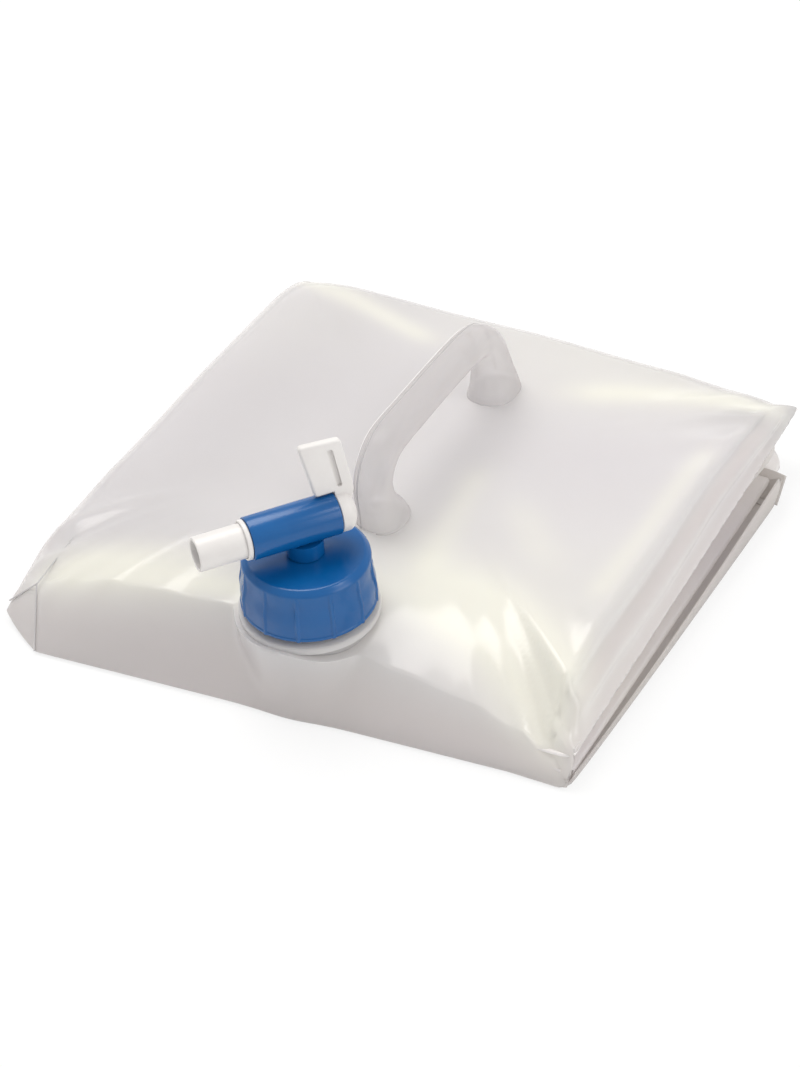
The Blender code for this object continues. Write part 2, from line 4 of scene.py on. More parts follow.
import bmesh
import bpy
import numpy as np
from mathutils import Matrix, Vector


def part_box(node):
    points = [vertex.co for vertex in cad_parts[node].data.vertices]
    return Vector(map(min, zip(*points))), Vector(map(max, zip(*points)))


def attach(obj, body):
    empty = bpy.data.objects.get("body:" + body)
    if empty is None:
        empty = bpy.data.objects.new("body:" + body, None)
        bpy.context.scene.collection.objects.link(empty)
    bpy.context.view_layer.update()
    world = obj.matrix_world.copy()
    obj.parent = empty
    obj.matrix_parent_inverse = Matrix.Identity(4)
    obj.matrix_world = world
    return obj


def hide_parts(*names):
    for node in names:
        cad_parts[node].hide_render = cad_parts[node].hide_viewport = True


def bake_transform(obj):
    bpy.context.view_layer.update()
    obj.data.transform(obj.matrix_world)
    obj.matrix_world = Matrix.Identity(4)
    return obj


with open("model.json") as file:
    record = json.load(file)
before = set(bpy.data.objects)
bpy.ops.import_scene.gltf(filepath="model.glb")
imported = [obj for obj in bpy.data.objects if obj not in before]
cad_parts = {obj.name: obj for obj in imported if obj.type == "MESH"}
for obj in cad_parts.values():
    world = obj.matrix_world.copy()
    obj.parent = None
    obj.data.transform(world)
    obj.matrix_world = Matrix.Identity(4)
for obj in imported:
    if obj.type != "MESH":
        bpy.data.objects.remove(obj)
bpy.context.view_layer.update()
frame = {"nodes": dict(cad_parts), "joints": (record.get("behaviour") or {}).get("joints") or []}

mm = 0.001
joints = {joint["name"]: joint for joint in frame["joints"]}


# Plain helpers

def smoothStep(value):
    # zero below 0, one above 1, and an S between them
    t = np.clip(value, 0.0, 1.0)
    return t * t * (3.0 - 2.0 * t)


def eased(position, knots, values):
    # values at the knots, with an S-shaped run from each to the next
    knots = np.asarray(knots, float)
    values = np.asarray(values, float)
    index = np.clip(np.searchsorted(knots, position, side="right") - 1, 0, len(knots) - 2)
    share = (position - knots[index]) / (knots[index + 1] - knots[index])
    return values[index] + (values[index + 1] - values[index]) * smoothStep(share)


def softNoise(x, y, scale, seed):
    # a sum of slanted sine waves of unlike lengths, about -1 to 1
    draw = np.random.default_rng(seed)
    total = np.zeros_like(x)
    for _ in range(7):
        angle = draw.uniform(0.0, math.pi)
        length = scale * draw.uniform(0.6, 1.7)
        phase = draw.uniform(0.0, 2.0 * math.pi)
        total += np.sin((x * math.cos(angle) + y * math.sin(angle)) * 2.0 * math.pi / length + phase)
    return total / 3.5


def surface(name, grid, material, closeAcross=False, keep=None, sharp=40.0, shares=None):
    # a grid of points, rows by columns, made into a quad mesh; closeAcross joins the last column to the
    # first, and shares holds named values, one for each point, for the material; doubles are merged, so
    # that poles and seams are closed, and loose points dropped
    rows, columns = grid.shape[:2]
    index = np.arange(rows * columns).reshape(rows, columns)
    if closeAcross:
        index = np.concatenate([index, index[:, :1]], axis=1)
    quads = np.stack([index[:-1, :-1], index[:-1, 1:], index[1:, 1:], index[1:, :-1]], axis=-1)
    if keep is not None:
        quads = quads[keep]
    mesh = bpy.data.meshes.new(name)
    mesh.from_pydata(grid.reshape(-1, 3), [], quads.reshape(-1, 4))
    for label, values in (shares or {}).items():
        layer = mesh.attributes.new(label, "FLOAT", "POINT")
        layer.data.foreach_set("value", values.reshape(-1).astype(np.float32))
    work = bmesh.new()
    work.from_mesh(mesh)
    bmesh.ops.remove_doubles(work, verts=work.verts, dist=1e-6)
    bmesh.ops.dissolve_degenerate(work, edges=work.edges, dist=1e-7)
    loose = [vert for vert in work.verts if not vert.link_faces]
    bmesh.ops.delete(work, geom=loose, context="VERTS")
    work.to_mesh(mesh)
    work.free()
    mesh.materials.append(material)
    mesh.shade_smooth()
    mesh.set_sharp_from_angle(angle=math.radians(sharp))
    return placed(name, mesh)


def placed(name, data, place=(0.0, 0.0, 0.0)):
    item = bpy.data.objects.new(name, data)
    item.location = place
    bpy.context.scene.collection.objects.link(item)
    return item


def thicken(piece, depth, offset=-1.0):
    solid = piece.modifiers.new("wall", "SOLIDIFY")
    solid.thickness = depth
    solid.offset = offset
    return piece


def profilePoints(corners, rounds, arcSteps=5):
    # a polygon's corners, each swapped for an arc that cuts it off by its own length along both sides,
    # given in millimetres
    corners = np.asarray(corners, float)
    made = []
    count = len(corners)
    for i in range(count):
        corner = corners[i]
        cut = rounds[i] * mm
        if cut <= 0.0:
            made.append(corner)
            continue
        before = corners[i - 1] - corner
        after = corners[(i + 1) % count] - corner
        reach = min(cut, 0.45 * np.linalg.norm(before), 0.45 * np.linalg.norm(after))
        first = corner + before / np.linalg.norm(before) * reach
        last = corner + after / np.linalg.norm(after) * reach
        for t in np.linspace(0.0, 1.0, arcSteps):
            made.append((1 - t) ** 2 * first + 2 * t * (1 - t) * corner + t * t * last)
    return np.array(made)


def turnedGrid(profile, steps, swell=None):
    # each point of the profile, (radius, height), carried round Z
    angle = np.linspace(0.0, 2.0 * math.pi, steps, endpoint=False)
    radius = np.repeat(profile[:, :1], steps, axis=1)
    if swell is not None:
        radius = radius + swell(profile, angle)
    height = np.repeat(profile[:, 1:2], steps, axis=1)
    return np.stack([radius * np.cos(angle), radius * np.sin(angle), height], axis=-1)


def closedTurn(profile):
    # a ring's profile is closed by repeating its first point
    return np.concatenate([profile, profile[:1]], axis=0)


def turnedPiece(name, place, profile, material, steps=128, swell=None, sharp=40.0):
    # a profile carried round an axis and put in its place, closed across the seam
    return surface(name, place(turnedGrid(profile, steps, swell)), material, closeAcross=True, sharp=sharp)


def roundedRing(corners, rounds, arcSteps=5):
    # a ring's closed profile from its corners
    return closedTurn(profilePoints(corners, rounds, arcSteps))


def capped(grid):
    # a tube's two ends closed, each by a ring drawn into its middle point
    first = np.repeat(grid[:1].mean(axis=1, keepdims=True), grid.shape[1], axis=1)
    last = np.repeat(grid[-1:].mean(axis=1, keepdims=True), grid.shape[1], axis=1)
    return np.concatenate([first, grid, last])


# Frames of the neck and of the tap, from the joints' own axes

def unit(vector):
    vector = np.asarray(vector, float)
    return vector / np.linalg.norm(vector)


neckUp = unit(joints["cap_turn"]["axis"])
neckPlace = np.asarray(joints["cap_turn"]["pos_m"], float)
neckSide = np.array([1.0, 0.0, 0.0])
neckBack = np.cross(neckUp, neckSide)
tapAxis = unit(joints["tap_turn"]["axis"])
tapPlace = np.asarray(joints["tap_turn"]["pos_m"], float)
tapAcross = unit(np.cross(neckUp, tapAxis))


def onNeck(grid):
    return neckPlace + grid[..., :1] * neckSide + grid[..., 1:2] * neckBack + grid[..., 2:3] * neckUp


def fromInside(grid):
    # on the neck, for a profile whose points run the other way round
    return onNeck(grid[:, ::-1])


def onTap(grid):
    # X across the barrel, Y up the neck's axis, Z along the barrel towards the lever
    return tapPlace + grid[..., :1] * tapAcross + grid[..., 1:2] * neckUp + grid[..., 2:3] * tapAxis


# Materials

def nodeMaterial(name):
    material = bpy.data.materials.new(name)
    material.use_nodes = True
    tree = material.node_tree
    shader = tree.nodes["Principled BSDF"]
    place = tree.nodes.new("ShaderNodeTexCoord")
    return material, tree, shader, place.outputs["Object"]


def setInputs(tree, node, values):
    # each input joined to the socket given for it, or set to the value
    for label, value in values.items():
        if isinstance(value, bpy.types.NodeSocket):
            tree.links.new(value, node.inputs[label])
        else:
            node.inputs[label].default_value = value
    return node


def madeNode(tree, kind, values):
    return setInputs(tree, tree.nodes.new("ShaderNode" + kind), values)


def noiseNode(tree, place, scale, detail=3.0, rough=0.5, stretch=None):
    if stretch is not None:
        place = madeNode(tree, "Mapping", {"Vector": place, "Scale": stretch}).outputs["Vector"]
    values = {"Vector": place, "Scale": scale, "Detail": detail, "Roughness": rough}
    return madeNode(tree, "TexNoise", values).outputs["Fac"]


def rampNode(tree, source, stops):
    ramp = tree.nodes.new("ShaderNodeValToRGB")
    while len(ramp.color_ramp.elements) < len(stops):
        ramp.color_ramp.elements.new(0.5)
    for element, (place, colour) in zip(ramp.color_ramp.elements, stops):
        element.position = place
        element.color = (*colour, 1.0)
    tree.links.new(source, ramp.inputs["Fac"])
    return ramp.outputs["Color"]


def rangeNode(tree, source, low, high):
    return madeNode(tree, "MapRange", {"Value": source, "To Min": low, "To Max": high}).outputs["Result"]


def bumpNode(tree, source, strength, distance, under=None):
    # a bump, on top of another one's normals where they are given
    values = {"Height": source, "Strength": strength, "Distance": distance}
    if under is not None:
        values["Normal"] = under
    return madeNode(tree, "Bump", values).outputs["Normal"]


filmLook = {
    "pale": (0.830, 0.810, 0.815),
    "cream": (0.850, 0.835, 0.815),
    "grey": (0.800, 0.775, 0.790),
    "rim": (0.770, 0.715, 0.700),       # painted shade of the sloping skirts, towards the rims
    # painted shade, laid on the listed places
    "dim": (0.680, 0.662, 0.668),
    "warm": (0.970, 0.960, 0.880),      # painted highlight, where light gathers in the film
    "roughLow": 0.15,
    "roughHigh": 0.22,
    "drift": 7.0,                       # sizes of the patterns, as noise scales
    "scuff": 60.0,
    "grain": 420.0,
    "edgeBlend": 0.35,
    # painted glow, for light scattered within the folds
    "glowTone": (1.0, 0.95, 0.90, 1.0),
}


def mixColour(tree, share, colour, fixed):
    # a colour mixed by a share with a fixed one
    mix = tree.nodes.new("ShaderNodeMix")
    mix.data_type = "RGBA"
    return setInputs(tree, mix, {0: share, 6: colour, 7: (*fixed, 1.0)}).outputs[2]


def mixSurface(tree, share, first, second):
    # the material's surface, mixed by a share of two shaders
    mix = madeNode(tree, "MixShader", {0: share, 1: first.outputs[0], 2: second.outputs[0]})
    tree.links.new(mix.outputs[0], tree.nodes["Material Output"].inputs["Surface"])


def pointValue(tree, label):
    # a value stored on the surface's own points
    node = tree.nodes.new("ShaderNodeAttribute")
    node.attribute_name = label
    return node.outputs["Fac"]


def filmMaterial(name, tone, clear, edgeClear, rippleSize=26.0, ripple=0.30, shaded=False, through=0.22,
                 paintedGlow=0.0, edge=None):
    # milky film: a slow drift of tone, fine ripples, a few scuffs in the gloss, a share of the light
    # let through, and denser where it is seen edge on, and there of another tone where one is given;
    # a little painted glow stands for light scattered within the folds; a shaded film also has painted
    # shade towards its rim and in listed places, and painted highlights where light gathers
    material, tree, shader, place = nodeMaterial(name)
    drift = noiseNode(tree, place, filmLook["drift"], 1.0, 0.4)
    stops = [(0.30, filmLook["grey"]), (0.50, filmLook["pale"]), (0.72, filmLook["cream"])]
    stops = [(stop, tuple(np.array(colour) * tone)) for stop, colour in stops]
    colour = rampNode(tree, drift, stops)
    if shaded:
        # painted shade towards the rims, then painted shade in listed places, then painted highlights
        colour = mixColour(tree, pointValue(tree, "rimShare"), colour, filmLook["rim"])
        colour = mixColour(tree, pointValue(tree, "dimShare"), colour, filmLook["dim"])
        colour = mixColour(tree, pointValue(tree, "warmShare"), colour, filmLook["warm"])
    facing = madeNode(tree, "LayerWeight", {"Blend": filmLook["edgeBlend"]}).outputs["Facing"]
    if edge is not None:
        colour = mixColour(tree, rangeNode(tree, facing, 0.0, 1.0), colour, edge)
    scuff = noiseNode(tree, place, filmLook["scuff"], 3.0, 0.5)
    ripples = noiseNode(tree, place, rippleSize, 4.0, 0.55, (1.0, 0.55, 1.0))
    grain = noiseNode(tree, place, filmLook["grain"], 2.0)
    soft = bumpNode(tree, ripples, ripple, 0.002)
    setInputs(tree, shader, {
        "Base Color": colour,
        "Roughness": rangeNode(tree, scuff, filmLook["roughLow"], filmLook["roughHigh"]),
        "Normal": bumpNode(tree, grain, 0.06, 0.0002, soft),
        "Alpha": rangeNode(tree, facing, clear, edgeClear),
        "IOR": 1.50, "Coat Weight": 0.30, "Coat Roughness": 0.10,
        "Emission Color": filmLook["glowTone"], "Emission Strength": paintedGlow,
        "Subsurface Weight": 0.25, "Subsurface Radius": (0.010, 0.009, 0.008), "Subsurface Scale": 0.6,
    })
    mixSurface(tree, through, shader, madeNode(tree, "BsdfTranslucent", {"Color": colour}))
    return material


def plasticMaterial(name, colour, worn, rough, speckle=900.0, gloss=0.5):
    # moulded plastic: slight drift of colour, satin gloss, fine mould grain and rubbed patches
    material, tree, shader, place = nodeMaterial(name)
    drift = noiseNode(tree, place, 45.0, 4.0, 0.6)
    rubbed = noiseNode(tree, place, 110.0, 5.0, 0.6)
    grain = noiseNode(tree, place, speckle, 2.0)
    setInputs(tree, shader, {
        "Base Color": rampNode(tree, drift, [(0.35, colour), (0.75, worn)]),
        "Roughness": rangeNode(tree, rubbed, rough - 0.07, rough + 0.09),
        "Normal": bumpNode(tree, grain, 0.10, 0.0002), "IOR": 1.50, "Specular IOR Level": gloss,
    })
    return material


topFilm = filmMaterial("clearTopFilm", 1.0, 0.70, 0.98, ripple=0.14, shaded=True)
# the fold film is a little brighter and has a painted glow: painted light scattered inside the folds
foldFilm = filmMaterial("clearFoldFilm", 1.04, 0.62, 0.95, 34.0, 0.5, through=0.45, paintedGlow=0.16)
# the base's film is a darker copy of the top's: painted shade of the lower half, with a faint painted glow
baseFilm = filmMaterial("clearBaseFilm", (0.76, 0.73, 0.705), 0.75, 0.98, through=0.25, paintedGlow=0.04)
mouldedClear = filmMaterial("mouldedClear", 1.0, 0.90, 1.0, 60.0, 0.12)
handleClear = filmMaterial("handleClear", 0.86, 0.10, 0.98, 40.0, 0.20, through=0.30,
                           edge=(0.60, 0.565, 0.565))
collarClear = filmMaterial("collarClear", 1.0, 0.60, 1.0, 60.0, 0.12)
seamFilm = filmMaterial("seamFilm", 0.72, 0.95, 1.0, 60.0, 0.12)
# a bright film with a painted glow: painted highlight lines along the right rim and the handle
weldFilm = filmMaterial("weldFilm", 1.10, 0.95, 1.0, 60.0, 0.12, paintedGlow=0.10)
bossClear = filmMaterial("bossClear", 0.90, 0.45, 0.95, 40.0, 0.20)
bluePlastic = plasticMaterial("bluePlastic", (0.001, 0.082, 0.272), (0.002, 0.098, 0.310), 0.22, gloss=0.45)
whitePlastic = plasticMaterial("whitePlastic", (0.70, 0.675, 0.66), (0.75, 0.73, 0.715), 0.32)
sealRubber = plasticMaterial("sealRubber", (0.055, 0.055, 0.060), (0.085, 0.085, 0.090), 0.62)
print("materials made")


# The bag

baseLow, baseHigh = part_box("base_film")
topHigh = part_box("top_film")[1]
half = (baseHigh.x - baseLow.x) / 2
shoulderCrown = 3.5 * mm        # how far the right ridge stands above the top
crease = {name: np.asarray(joints[name + "_crease"]["pos_m"], float) for name in (
    "front_upper", "front_lower", "back_upper", "right_upper", "right_lower", "left_upper", "left_lower")}
crease["back_lower"] = np.asarray(joints["unfold"]["pos_m"], float)


def sideSlope(name):
    # how much a side crease climbs for each metre towards the back
    axis = np.asarray(joints[name + "_crease"]["axis"], float)
    return axis[2] / axis[1]


wallLine = crease["right_upper"][0]
upperSlope = sideSlope("right_upper")
lowerSlope = sideSlope("right_lower")
upperSideFront = crease["right_upper"][2] - upperSlope * wallLine
upperSideBack = crease["right_upper"][2] + upperSlope * wallLine
lowerSideFront = crease["right_lower"][2] - lowerSlope * wallLine
lowerSideBack = crease["right_lower"][2] + lowerSlope * wallLine

topSkin = {
    "rows": 190,
    "flatShare": 0.70,          # share of the rings that lies inside the shoulders
    "level": topHigh.z - shoulderCrown - 0.2 * mm,
    "rimLift": 1.6 * mm,        # how far above its crease the skirt ends
    "insetFront": 4.5 * mm,
    "insetRight": 13 * mm,
    "insetBack": 22 * mm,
    "insetLeft": 18 * mm,
    "underShare": 0.97,         # share of the rings past which the front turns under
    "filmDepth": 0.5 * mm,
    "neckHole": 25 * mm,
    "neckHoleFloor": 38 * mm,
    "footFront": (159.0 * mm, 141.2 * mm),      # how far forward the front foot is, at these two places
    "footFrontAt": (-112.0 * mm, 112.0 * mm),
    "footLevel": 1.0 * mm,
    "footPower": 2.4,           # how late the foot rises towards the gusset's outer point
    "ridgePower": 5,            # how late the top rises from its level middle to the ridge
    "fallPower": 1.15,
    "tipReach": 0.22,           # how far the left rim's rise reaches, as a share of half the side
    "streak": 1.3 * mm,         # depth of the long creases of the right skirt
    "streaks": 2.1,             # their number from ridge to rim
    "wrinkle": 0.30 * mm,
    "wrinkleSize": 80 * mm,
    "gussetEdge": 0.5 * mm,     # how softly the gusset and the bulge over the boss meet the foot
    "coneEdge": 5 * mm,
    "turnUnder": 2.2 * mm,      # how far below its rim the front ends
    "coneFoot": 22 * mm,        # radius of the bulge over the neck's boss, at the floor
    "coneHead": 32 * mm,        # and under the collar
    "coneTop": 41 * mm,
    "coneFade": 2.5 * mm,
}

# Places round the rim: 0 front left corner, 2 front right, 4 back right, 6 back left, 8 again the first.
ridgeKnots = (0.0, 0.14, 0.30, 0.54, 0.80, 1.10, 1.27, 1.46, 1.72, 1.89, 1.97, 2.0, 2.05, 2.14, 2.40, 3.3,
              3.6, 3.86, 4.0, 4.14, 4.45, 5.0, 5.75, 6.0, 6.2, 6.6, 7.4, 7.75, 7.9, 8.0)
ridgeHeights = (22.5, 29, 34, 37.5, 41, 41, 36.5, 32, 28, 21, 16, 15.5, 24, 42, 49, 50,
                48, 43, 38.5, 42, 46, 49, 50, 47, 49.5, 49, 43.5, 38, 29.5, 22.5)
rimKnots = (0.0, 0.05, 1.95, 2.0, 2.03, 3.95, 4.0, 4.05, 5.95, 6.0, 6.05, 7.95, 8.0)
straightKnots = (0.0, 0.1, 1.9, 2.1, 3.9, 4.1, 5.9, 6.1, 7.8, 8.0)
straightShares = (0.70, 0.55, 0.55, 0.75, 0.60, 0.40, 0.40, 0.45, 0.58, 0.40)
# How far the plan's corners are drawn in, as shares, at 0, 1, 2 ... 8 round the rim.
cornerCuts = (0.002, 0.004, 0.008, 0.006, 0.006, 0.030, 0.032, 0.006, 0.002)

# The front left corner's gusset is the plane through these three points: its top and foot at the
# seam, and its outer point.
gusset = np.array([(-122.8, -140.0, 23.3), (-114.0, -159.0, 1.0), (-142.5, -140.4, 5.5)]) * mm


def ringPlaces(count):
    # a square grid from -1 to 1, read as rings: how far out each point is, where on the unit
    # square it points, and how far round the rim that is, from 0 to 8
    line = np.linspace(-1.0, 1.0, count)
    u, v = np.meshgrid(line, line, indexing="ij")
    out = np.maximum(np.abs(u), np.abs(v))
    safe = np.where(out == 0.0, 1.0, out)
    ex, ey = u / safe, v / safe
    front = (np.abs(ey) >= np.abs(ex)) & (ey < 0)
    right = (np.abs(ex) > np.abs(ey)) & (ex > 0)
    back = (np.abs(ey) >= np.abs(ex)) & (ey >= 0)
    along = np.where(front, ex + 1, np.where(right, ey + 3, np.where(back, 5 - ex, 7 - ey)))
    return out, ex, ey, np.clip(along, 0.0, 8.0)


def bell(x, y, start, end, width):
    # one along the line from start to end, given in millimetres, fading to both sides and past the ends
    start = np.asarray(start, float) * mm
    end = np.asarray(end, float) * mm
    run = end - start
    length = np.linalg.norm(run)
    run = run / length
    dx, dy = x - start[0], y - start[1]
    along = dx * run[0] + dy * run[1]
    across = -dx * run[1] + dy * run[0]
    past = np.maximum(np.maximum(-along, along - length), 0.0)
    return np.exp(-(across / (width * mm)) ** 2 - (past / (2 * width * mm)) ** 2)


# Soft folds of the top: start, end, width and height in millimetres.
topFolds = (
    ((124, -124), (70, -84), 16, 1.1),
    ((122, -98), (70, -58), 18, -0.9),
    ((-116, -122), (-76, -92), 16, 0.7),
    ((120, 112), (78, 82), 12, 1.0),
    ((-114, 114), (-70, 88), 12, 1.0),
    ((60, -60), (100, -20), 20, -1.0),
    ((50, 90), (104, 102), 14, 0.8),
    ((-60, 60), (-100, -40), 30, -1.2),
    ((20, -50), (30, 20), 14, -1.0),
    ((9, -92), (9, -78), 14, 0.8),
)


def cornerCut(ex, ey, share):
    # near a corner of the square, the share by which a ring is drawn in, along a rounded corner
    return 1 - share * np.abs(ex * ey) ** (0.5 / share)


def softMax(a, b, width):
    # the greater of two lengths, rounded where they meet
    return (a + b + np.sqrt((a - b) ** 2 + width ** 2)) / 2


def footFront(x):
    # how far forward the front foot is, on a straight line that ends near the right corner
    (low, high), (first, last) = topSkin["footFront"], topSkin["footFrontAt"]
    return np.maximum(low + (high - low) * (x - first) / (last - first), high)


def gussetFront(x, z):
    # how far forward the gusset's plane is
    rows = np.column_stack([np.ones(3), gusset[:, 0], gusset[:, 2]])
    a, b, c = np.linalg.solve(rows, -gusset[:, 1])
    return a + b * x + c * z


def coneFront(x, z):
    # where the bulge over the boss has its front, as a distance forward
    fade = topSkin["coneFade"]
    head = smoothStep((topSkin["coneTop"] + fade - z) / fade)
    share = np.clip(z / topSkin["coneTop"], 0, 1)
    radius = topSkin["coneFoot"] + (topSkin["coneHead"] - topSkin["coneFoot"]) * share
    aside = np.abs(x - neckPlace[0])
    bow = np.sqrt(np.maximum(radius ** 2 - aside ** 2, 0.0)) - 3.0 * np.maximum(aside - radius, 0.0)
    return -neckPlace[1] + bow * head - 20 * mm * (1 - head)


# Painted highlights, where light gathers in the film: start, end, width in millimetres and strength.
paintedHighlightPlaces = (
    ((-108, -134), (-24, -126), 11, 1.0),
    ((-100, -122), (-50, -112), 9, 0.5),
    ((64, -92), (124, -128), 17, 1.0),
    ((86, -84), (118, -102), 14, 0.6),
    ((28, -98), (60, -104), 12, 0.5),
    ((-120, 120), (-50, 98), 7, 0.7),
    ((60, 88), (136, 124), 10, 0.9),
    ((120, -60), (122, 50), 6, 0.5),
    ((34, -12), (42, -70), 8, 0.45),
    ((70, -30), (82, -44), 10, 0.35),
)
# Painted shade, where the film is shown darker than the rest.
paintedShadePlaces = (
    ((-92, -70), (-92, 80), 40, 0.50),
    ((-120, 138), (130, 138), 12, 0.90),
    ((126, 112), (140, 140), 13, 1.00),
    ((-20, -40), (-20, 60), 24, 0.20),
)


def topRim(along, ey):
    # the height at which the skirt ends: level at the front and back, climbing evenly along the
    # sides, and lowest at the gusset's outer point
    lift = topSkin["rimLift"]
    sideFront, sideBack = upperSideFront + lift, upperSideBack + lift
    front, back = crease["front_upper"][2] + lift, crease["back_upper"][2] + lift
    tip = gusset[2, 2]
    rim = eased(along, rimKnots, (tip, front, front, front, sideFront, sideBack, sideBack,
                                  back, back, sideBack, sideBack, tip, tip))
    rightStart, rightEnd, leftStart = rimKnots[4], rimKnots[5], rimKnots[10]
    straightRun = sideFront + (sideBack - sideFront) * (ey + 1) / 2
    leftRun = straightRun - (sideFront - tip) * (1 - smoothStep((ey + 1) / topSkin["tipReach"]))
    rim = np.where((along > rightStart) & (along < rightEnd), straightRun, rim)
    return np.where(along > leftStart, leftRun, rim)


def strengthAt(x, y, places):
    # the bells of all the places added up
    total = sum(bell(x, y, start, end, width) * strength for start, end, width, strength in places)
    return np.clip(total, 0.0, 1.0)


def topShares(x, y, front, fall, side):
    # for the material: painted shade towards the rim and along the skirt's long creases, painted shade in
    # listed places, and painted highlights, at each point
    # the long creases of the right skirt, painted as light and dark bands
    streaks = 0.34 * np.cos(2 * math.pi * (topSkin["streaks"] * fall + 0.02)) * np.sin(math.pi * fall) * side
    rimShare = np.where(front > 0, 0.62, 0.50) * smoothStep(fall * 1.3) + streaks
    return {"rimShare": np.clip(rimShare, 0.0, 1.0), "dimShare": strengthAt(x, y, paintedShadePlaces),
            "warmShare": strengthAt(x, y, paintedHighlightPlaces) * (1 - 0.8 * fall)}


def makeTopSkin():
    # Inside the shoulders, the plan is the ring's share of the shoulder line, and the height eases
    # from the level middle to the ridge. Outside, the plan runs out to the wall as the height falls
    # to the rim, on a mix of a quarter turn and a straight slope. The front foot stands forward,
    # comes down to the floor and turns under to its crease. At the left the gusset cuts it off, and
    # it bulges over the neck's boss: the lesser, then the greater, of the distances forward.
    out, ex, ey, along = ringPlaces(topSkin["rows"])
    flat, under = topSkin["flatShare"], topSkin["underShare"]
    inner = np.clip(out / flat, 0.0, 1.0)
    fall = np.clip((out - flat) / (under - flat), 0.0, 1.0)
    back = np.clip((out - under) / (1 - under), 0.0, 1.0)
    rim = topRim(along, ey)
    front = (along <= 2.0) * 1.0
    forward = fall > 0
    foot = np.where(front > 0, topSkin["footLevel"], rim)
    toTip = np.clip((gusset[1, 0] - ex * half) / (gusset[1, 0] - gusset[2, 0]), 0.0, 1.0)
    foot = foot + (gusset[2, 2] - foot) * toTip ** topSkin["footPower"] * front
    ridge = eased(along, ridgeKnots, ridgeHeights) * mm
    straight = eased(along, straightKnots, straightShares)
    turn = fall * math.pi / 2
    inset = (1 - straight) * (1 - np.sin(turn)) + straight * (1 - fall)
    height = (1 - straight) * np.cos(turn) + straight * (1 - fall ** topSkin["fallPower"])
    insetX = np.where(ex > 0, topSkin["insetRight"], topSkin["insetLeft"])
    insetY = np.where(ey > 0, topSkin["insetBack"], topSkin["insetFront"])
    cut = cornerCut(ex, ey, np.interp(along, np.arange(9), cornerCuts))
    x = ex * (half - inset * insetX) * inner * cut
    y = ey * (half - inset * insetY) * inner * cut
    z = topSkin["level"] + (ridge - topSkin["level"]) * inner ** topSkin["ridgePower"]
    z = np.where(forward, foot + (ridge - foot) * height, z)
    side = smoothStep((along - 2.02) / 0.25) * smoothStep((4.0 - along) / 0.15) * forward
    wave = np.sin(2 * math.pi * (topSkin["streaks"] * fall + 0.08 * np.sin(5 * ey)))
    x = x + topSkin["streak"] * wave * np.sin(math.pi * fall) * side
    calm = 1 - fall
    for start, end, width, rise in topFolds:
        z = z + rise * mm * bell(x, y, start, end, width) * calm
    noise = softNoise(x, y, topSkin["wrinkleSize"], 3)
    z = z + topSkin["wrinkle"] * noise * calm * smoothStep(inner * 1.5)
    ahead = -y + (footFront(ex * half) - half) * (1 - height) * forward
    ahead = -softMax(-ahead, -gussetFront(x, z), topSkin["gussetEdge"])
    ahead = softMax(ahead, coneFront(x, z), topSkin["coneEdge"])
    y = np.where((front > 0) & forward, -ahead, y)
    y = y + (-wallLine - y) * back * front
    z = z + (rim - topSkin["turnUnder"] - z) * back * front
    grid = np.stack([x, y, z], axis=-1)
    # the faces under the neck are left out: those near its axis and above its boss
    away = np.hypot(x - neckPlace[0], y - neckPlace[1])
    away = np.maximum(np.maximum(away[:-1, :-1], away[1:, 1:]), np.maximum(away[1:, :-1], away[:-1, 1:]))
    keep = (away > topSkin["neckHole"]) | (z[:-1, :-1] < topSkin["neckHoleFloor"])
    shares = topShares(x, y, front, fall, side)
    piece = surface("topSkin", grid, topFilm, keep=keep, sharp=60.0, shares=shares)
    thicken(piece, topSkin["filmDepth"])
    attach(piece, "top")
    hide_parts("top_film")


def pipe(name, line, radius, material, sides=12):
    # a round line: rings square to the run of a smooth curve through the points
    run = np.gradient(line, axis=0)
    run /= np.linalg.norm(run, axis=1, keepdims=True)
    first = np.cross(run, (0.12, 0.31, 0.94))
    first /= np.linalg.norm(first, axis=1, keepdims=True)
    second = np.cross(run, first)
    angle = np.linspace(0.0, 2 * math.pi, sides, endpoint=False)[None, :, None]
    grid = line[:, None] + radius * (np.cos(angle) * first[:, None] + np.sin(angle) * second[:, None])
    return surface(name, capped(grid[:, ::-1]), material, closeAcross=True, sharp=60.0)


seams = {
    "stand": np.array((-0.4, -0.7, 0.5)) * mm,      # how far they stand out of the gusset
    "tipShare": 0.80,                               # of the tip's seam, where the skin ends
    "shoulderEnd": np.array((-118.5, -101.0, 37.4)) * mm,
    "gussetRadius": 0.36,                           # in millimetres, as the next two
    "shoulderRadius": 0.32,
    "weldRadius": 0.50,
    "weldInset": 0.2 * mm,
    "weldStart": 4 * mm,                            # from the front corner, and from the back one
    "weldEnd": 1 * mm,
}


def makeSeams():
    # the welded seams of the front left corner: up from the floor, out towards the tip, and along
    # the shoulder; and the weld along the right rim, drawn bright and glowing as a painted highlight line
    top, foot, tip = gusset + seams["stand"]
    tip = top + (tip - top) * seams["tipShare"]
    rise, fromCorner, out = topSkin["rimLift"], seams["weldStart"], half - seams["weldInset"]
    front = np.array((out, fromCorner - half, upperSideFront + rise + upperSlope * fromCorner))
    back = np.array((out, half - seams["weldEnd"], upperSideBack + rise))
    runs = ((foot, top, seams["gussetRadius"], seamFilm), (tip, top, seams["gussetRadius"], seamFilm),
            (top, seams["shoulderEnd"], seams["shoulderRadius"], seamFilm),
            (front, back, seams["weldRadius"], weldFilm))
    for index, (start, end, radius, material) in enumerate(runs):
        t = np.linspace(0.0, 1.0, 24)[:, None]
        line = start + (end - start) * t
        seam = pipe("weldSeam" + str(index + 1), line, radius * mm, material)
        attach(seam, "top")
        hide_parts("top_film")


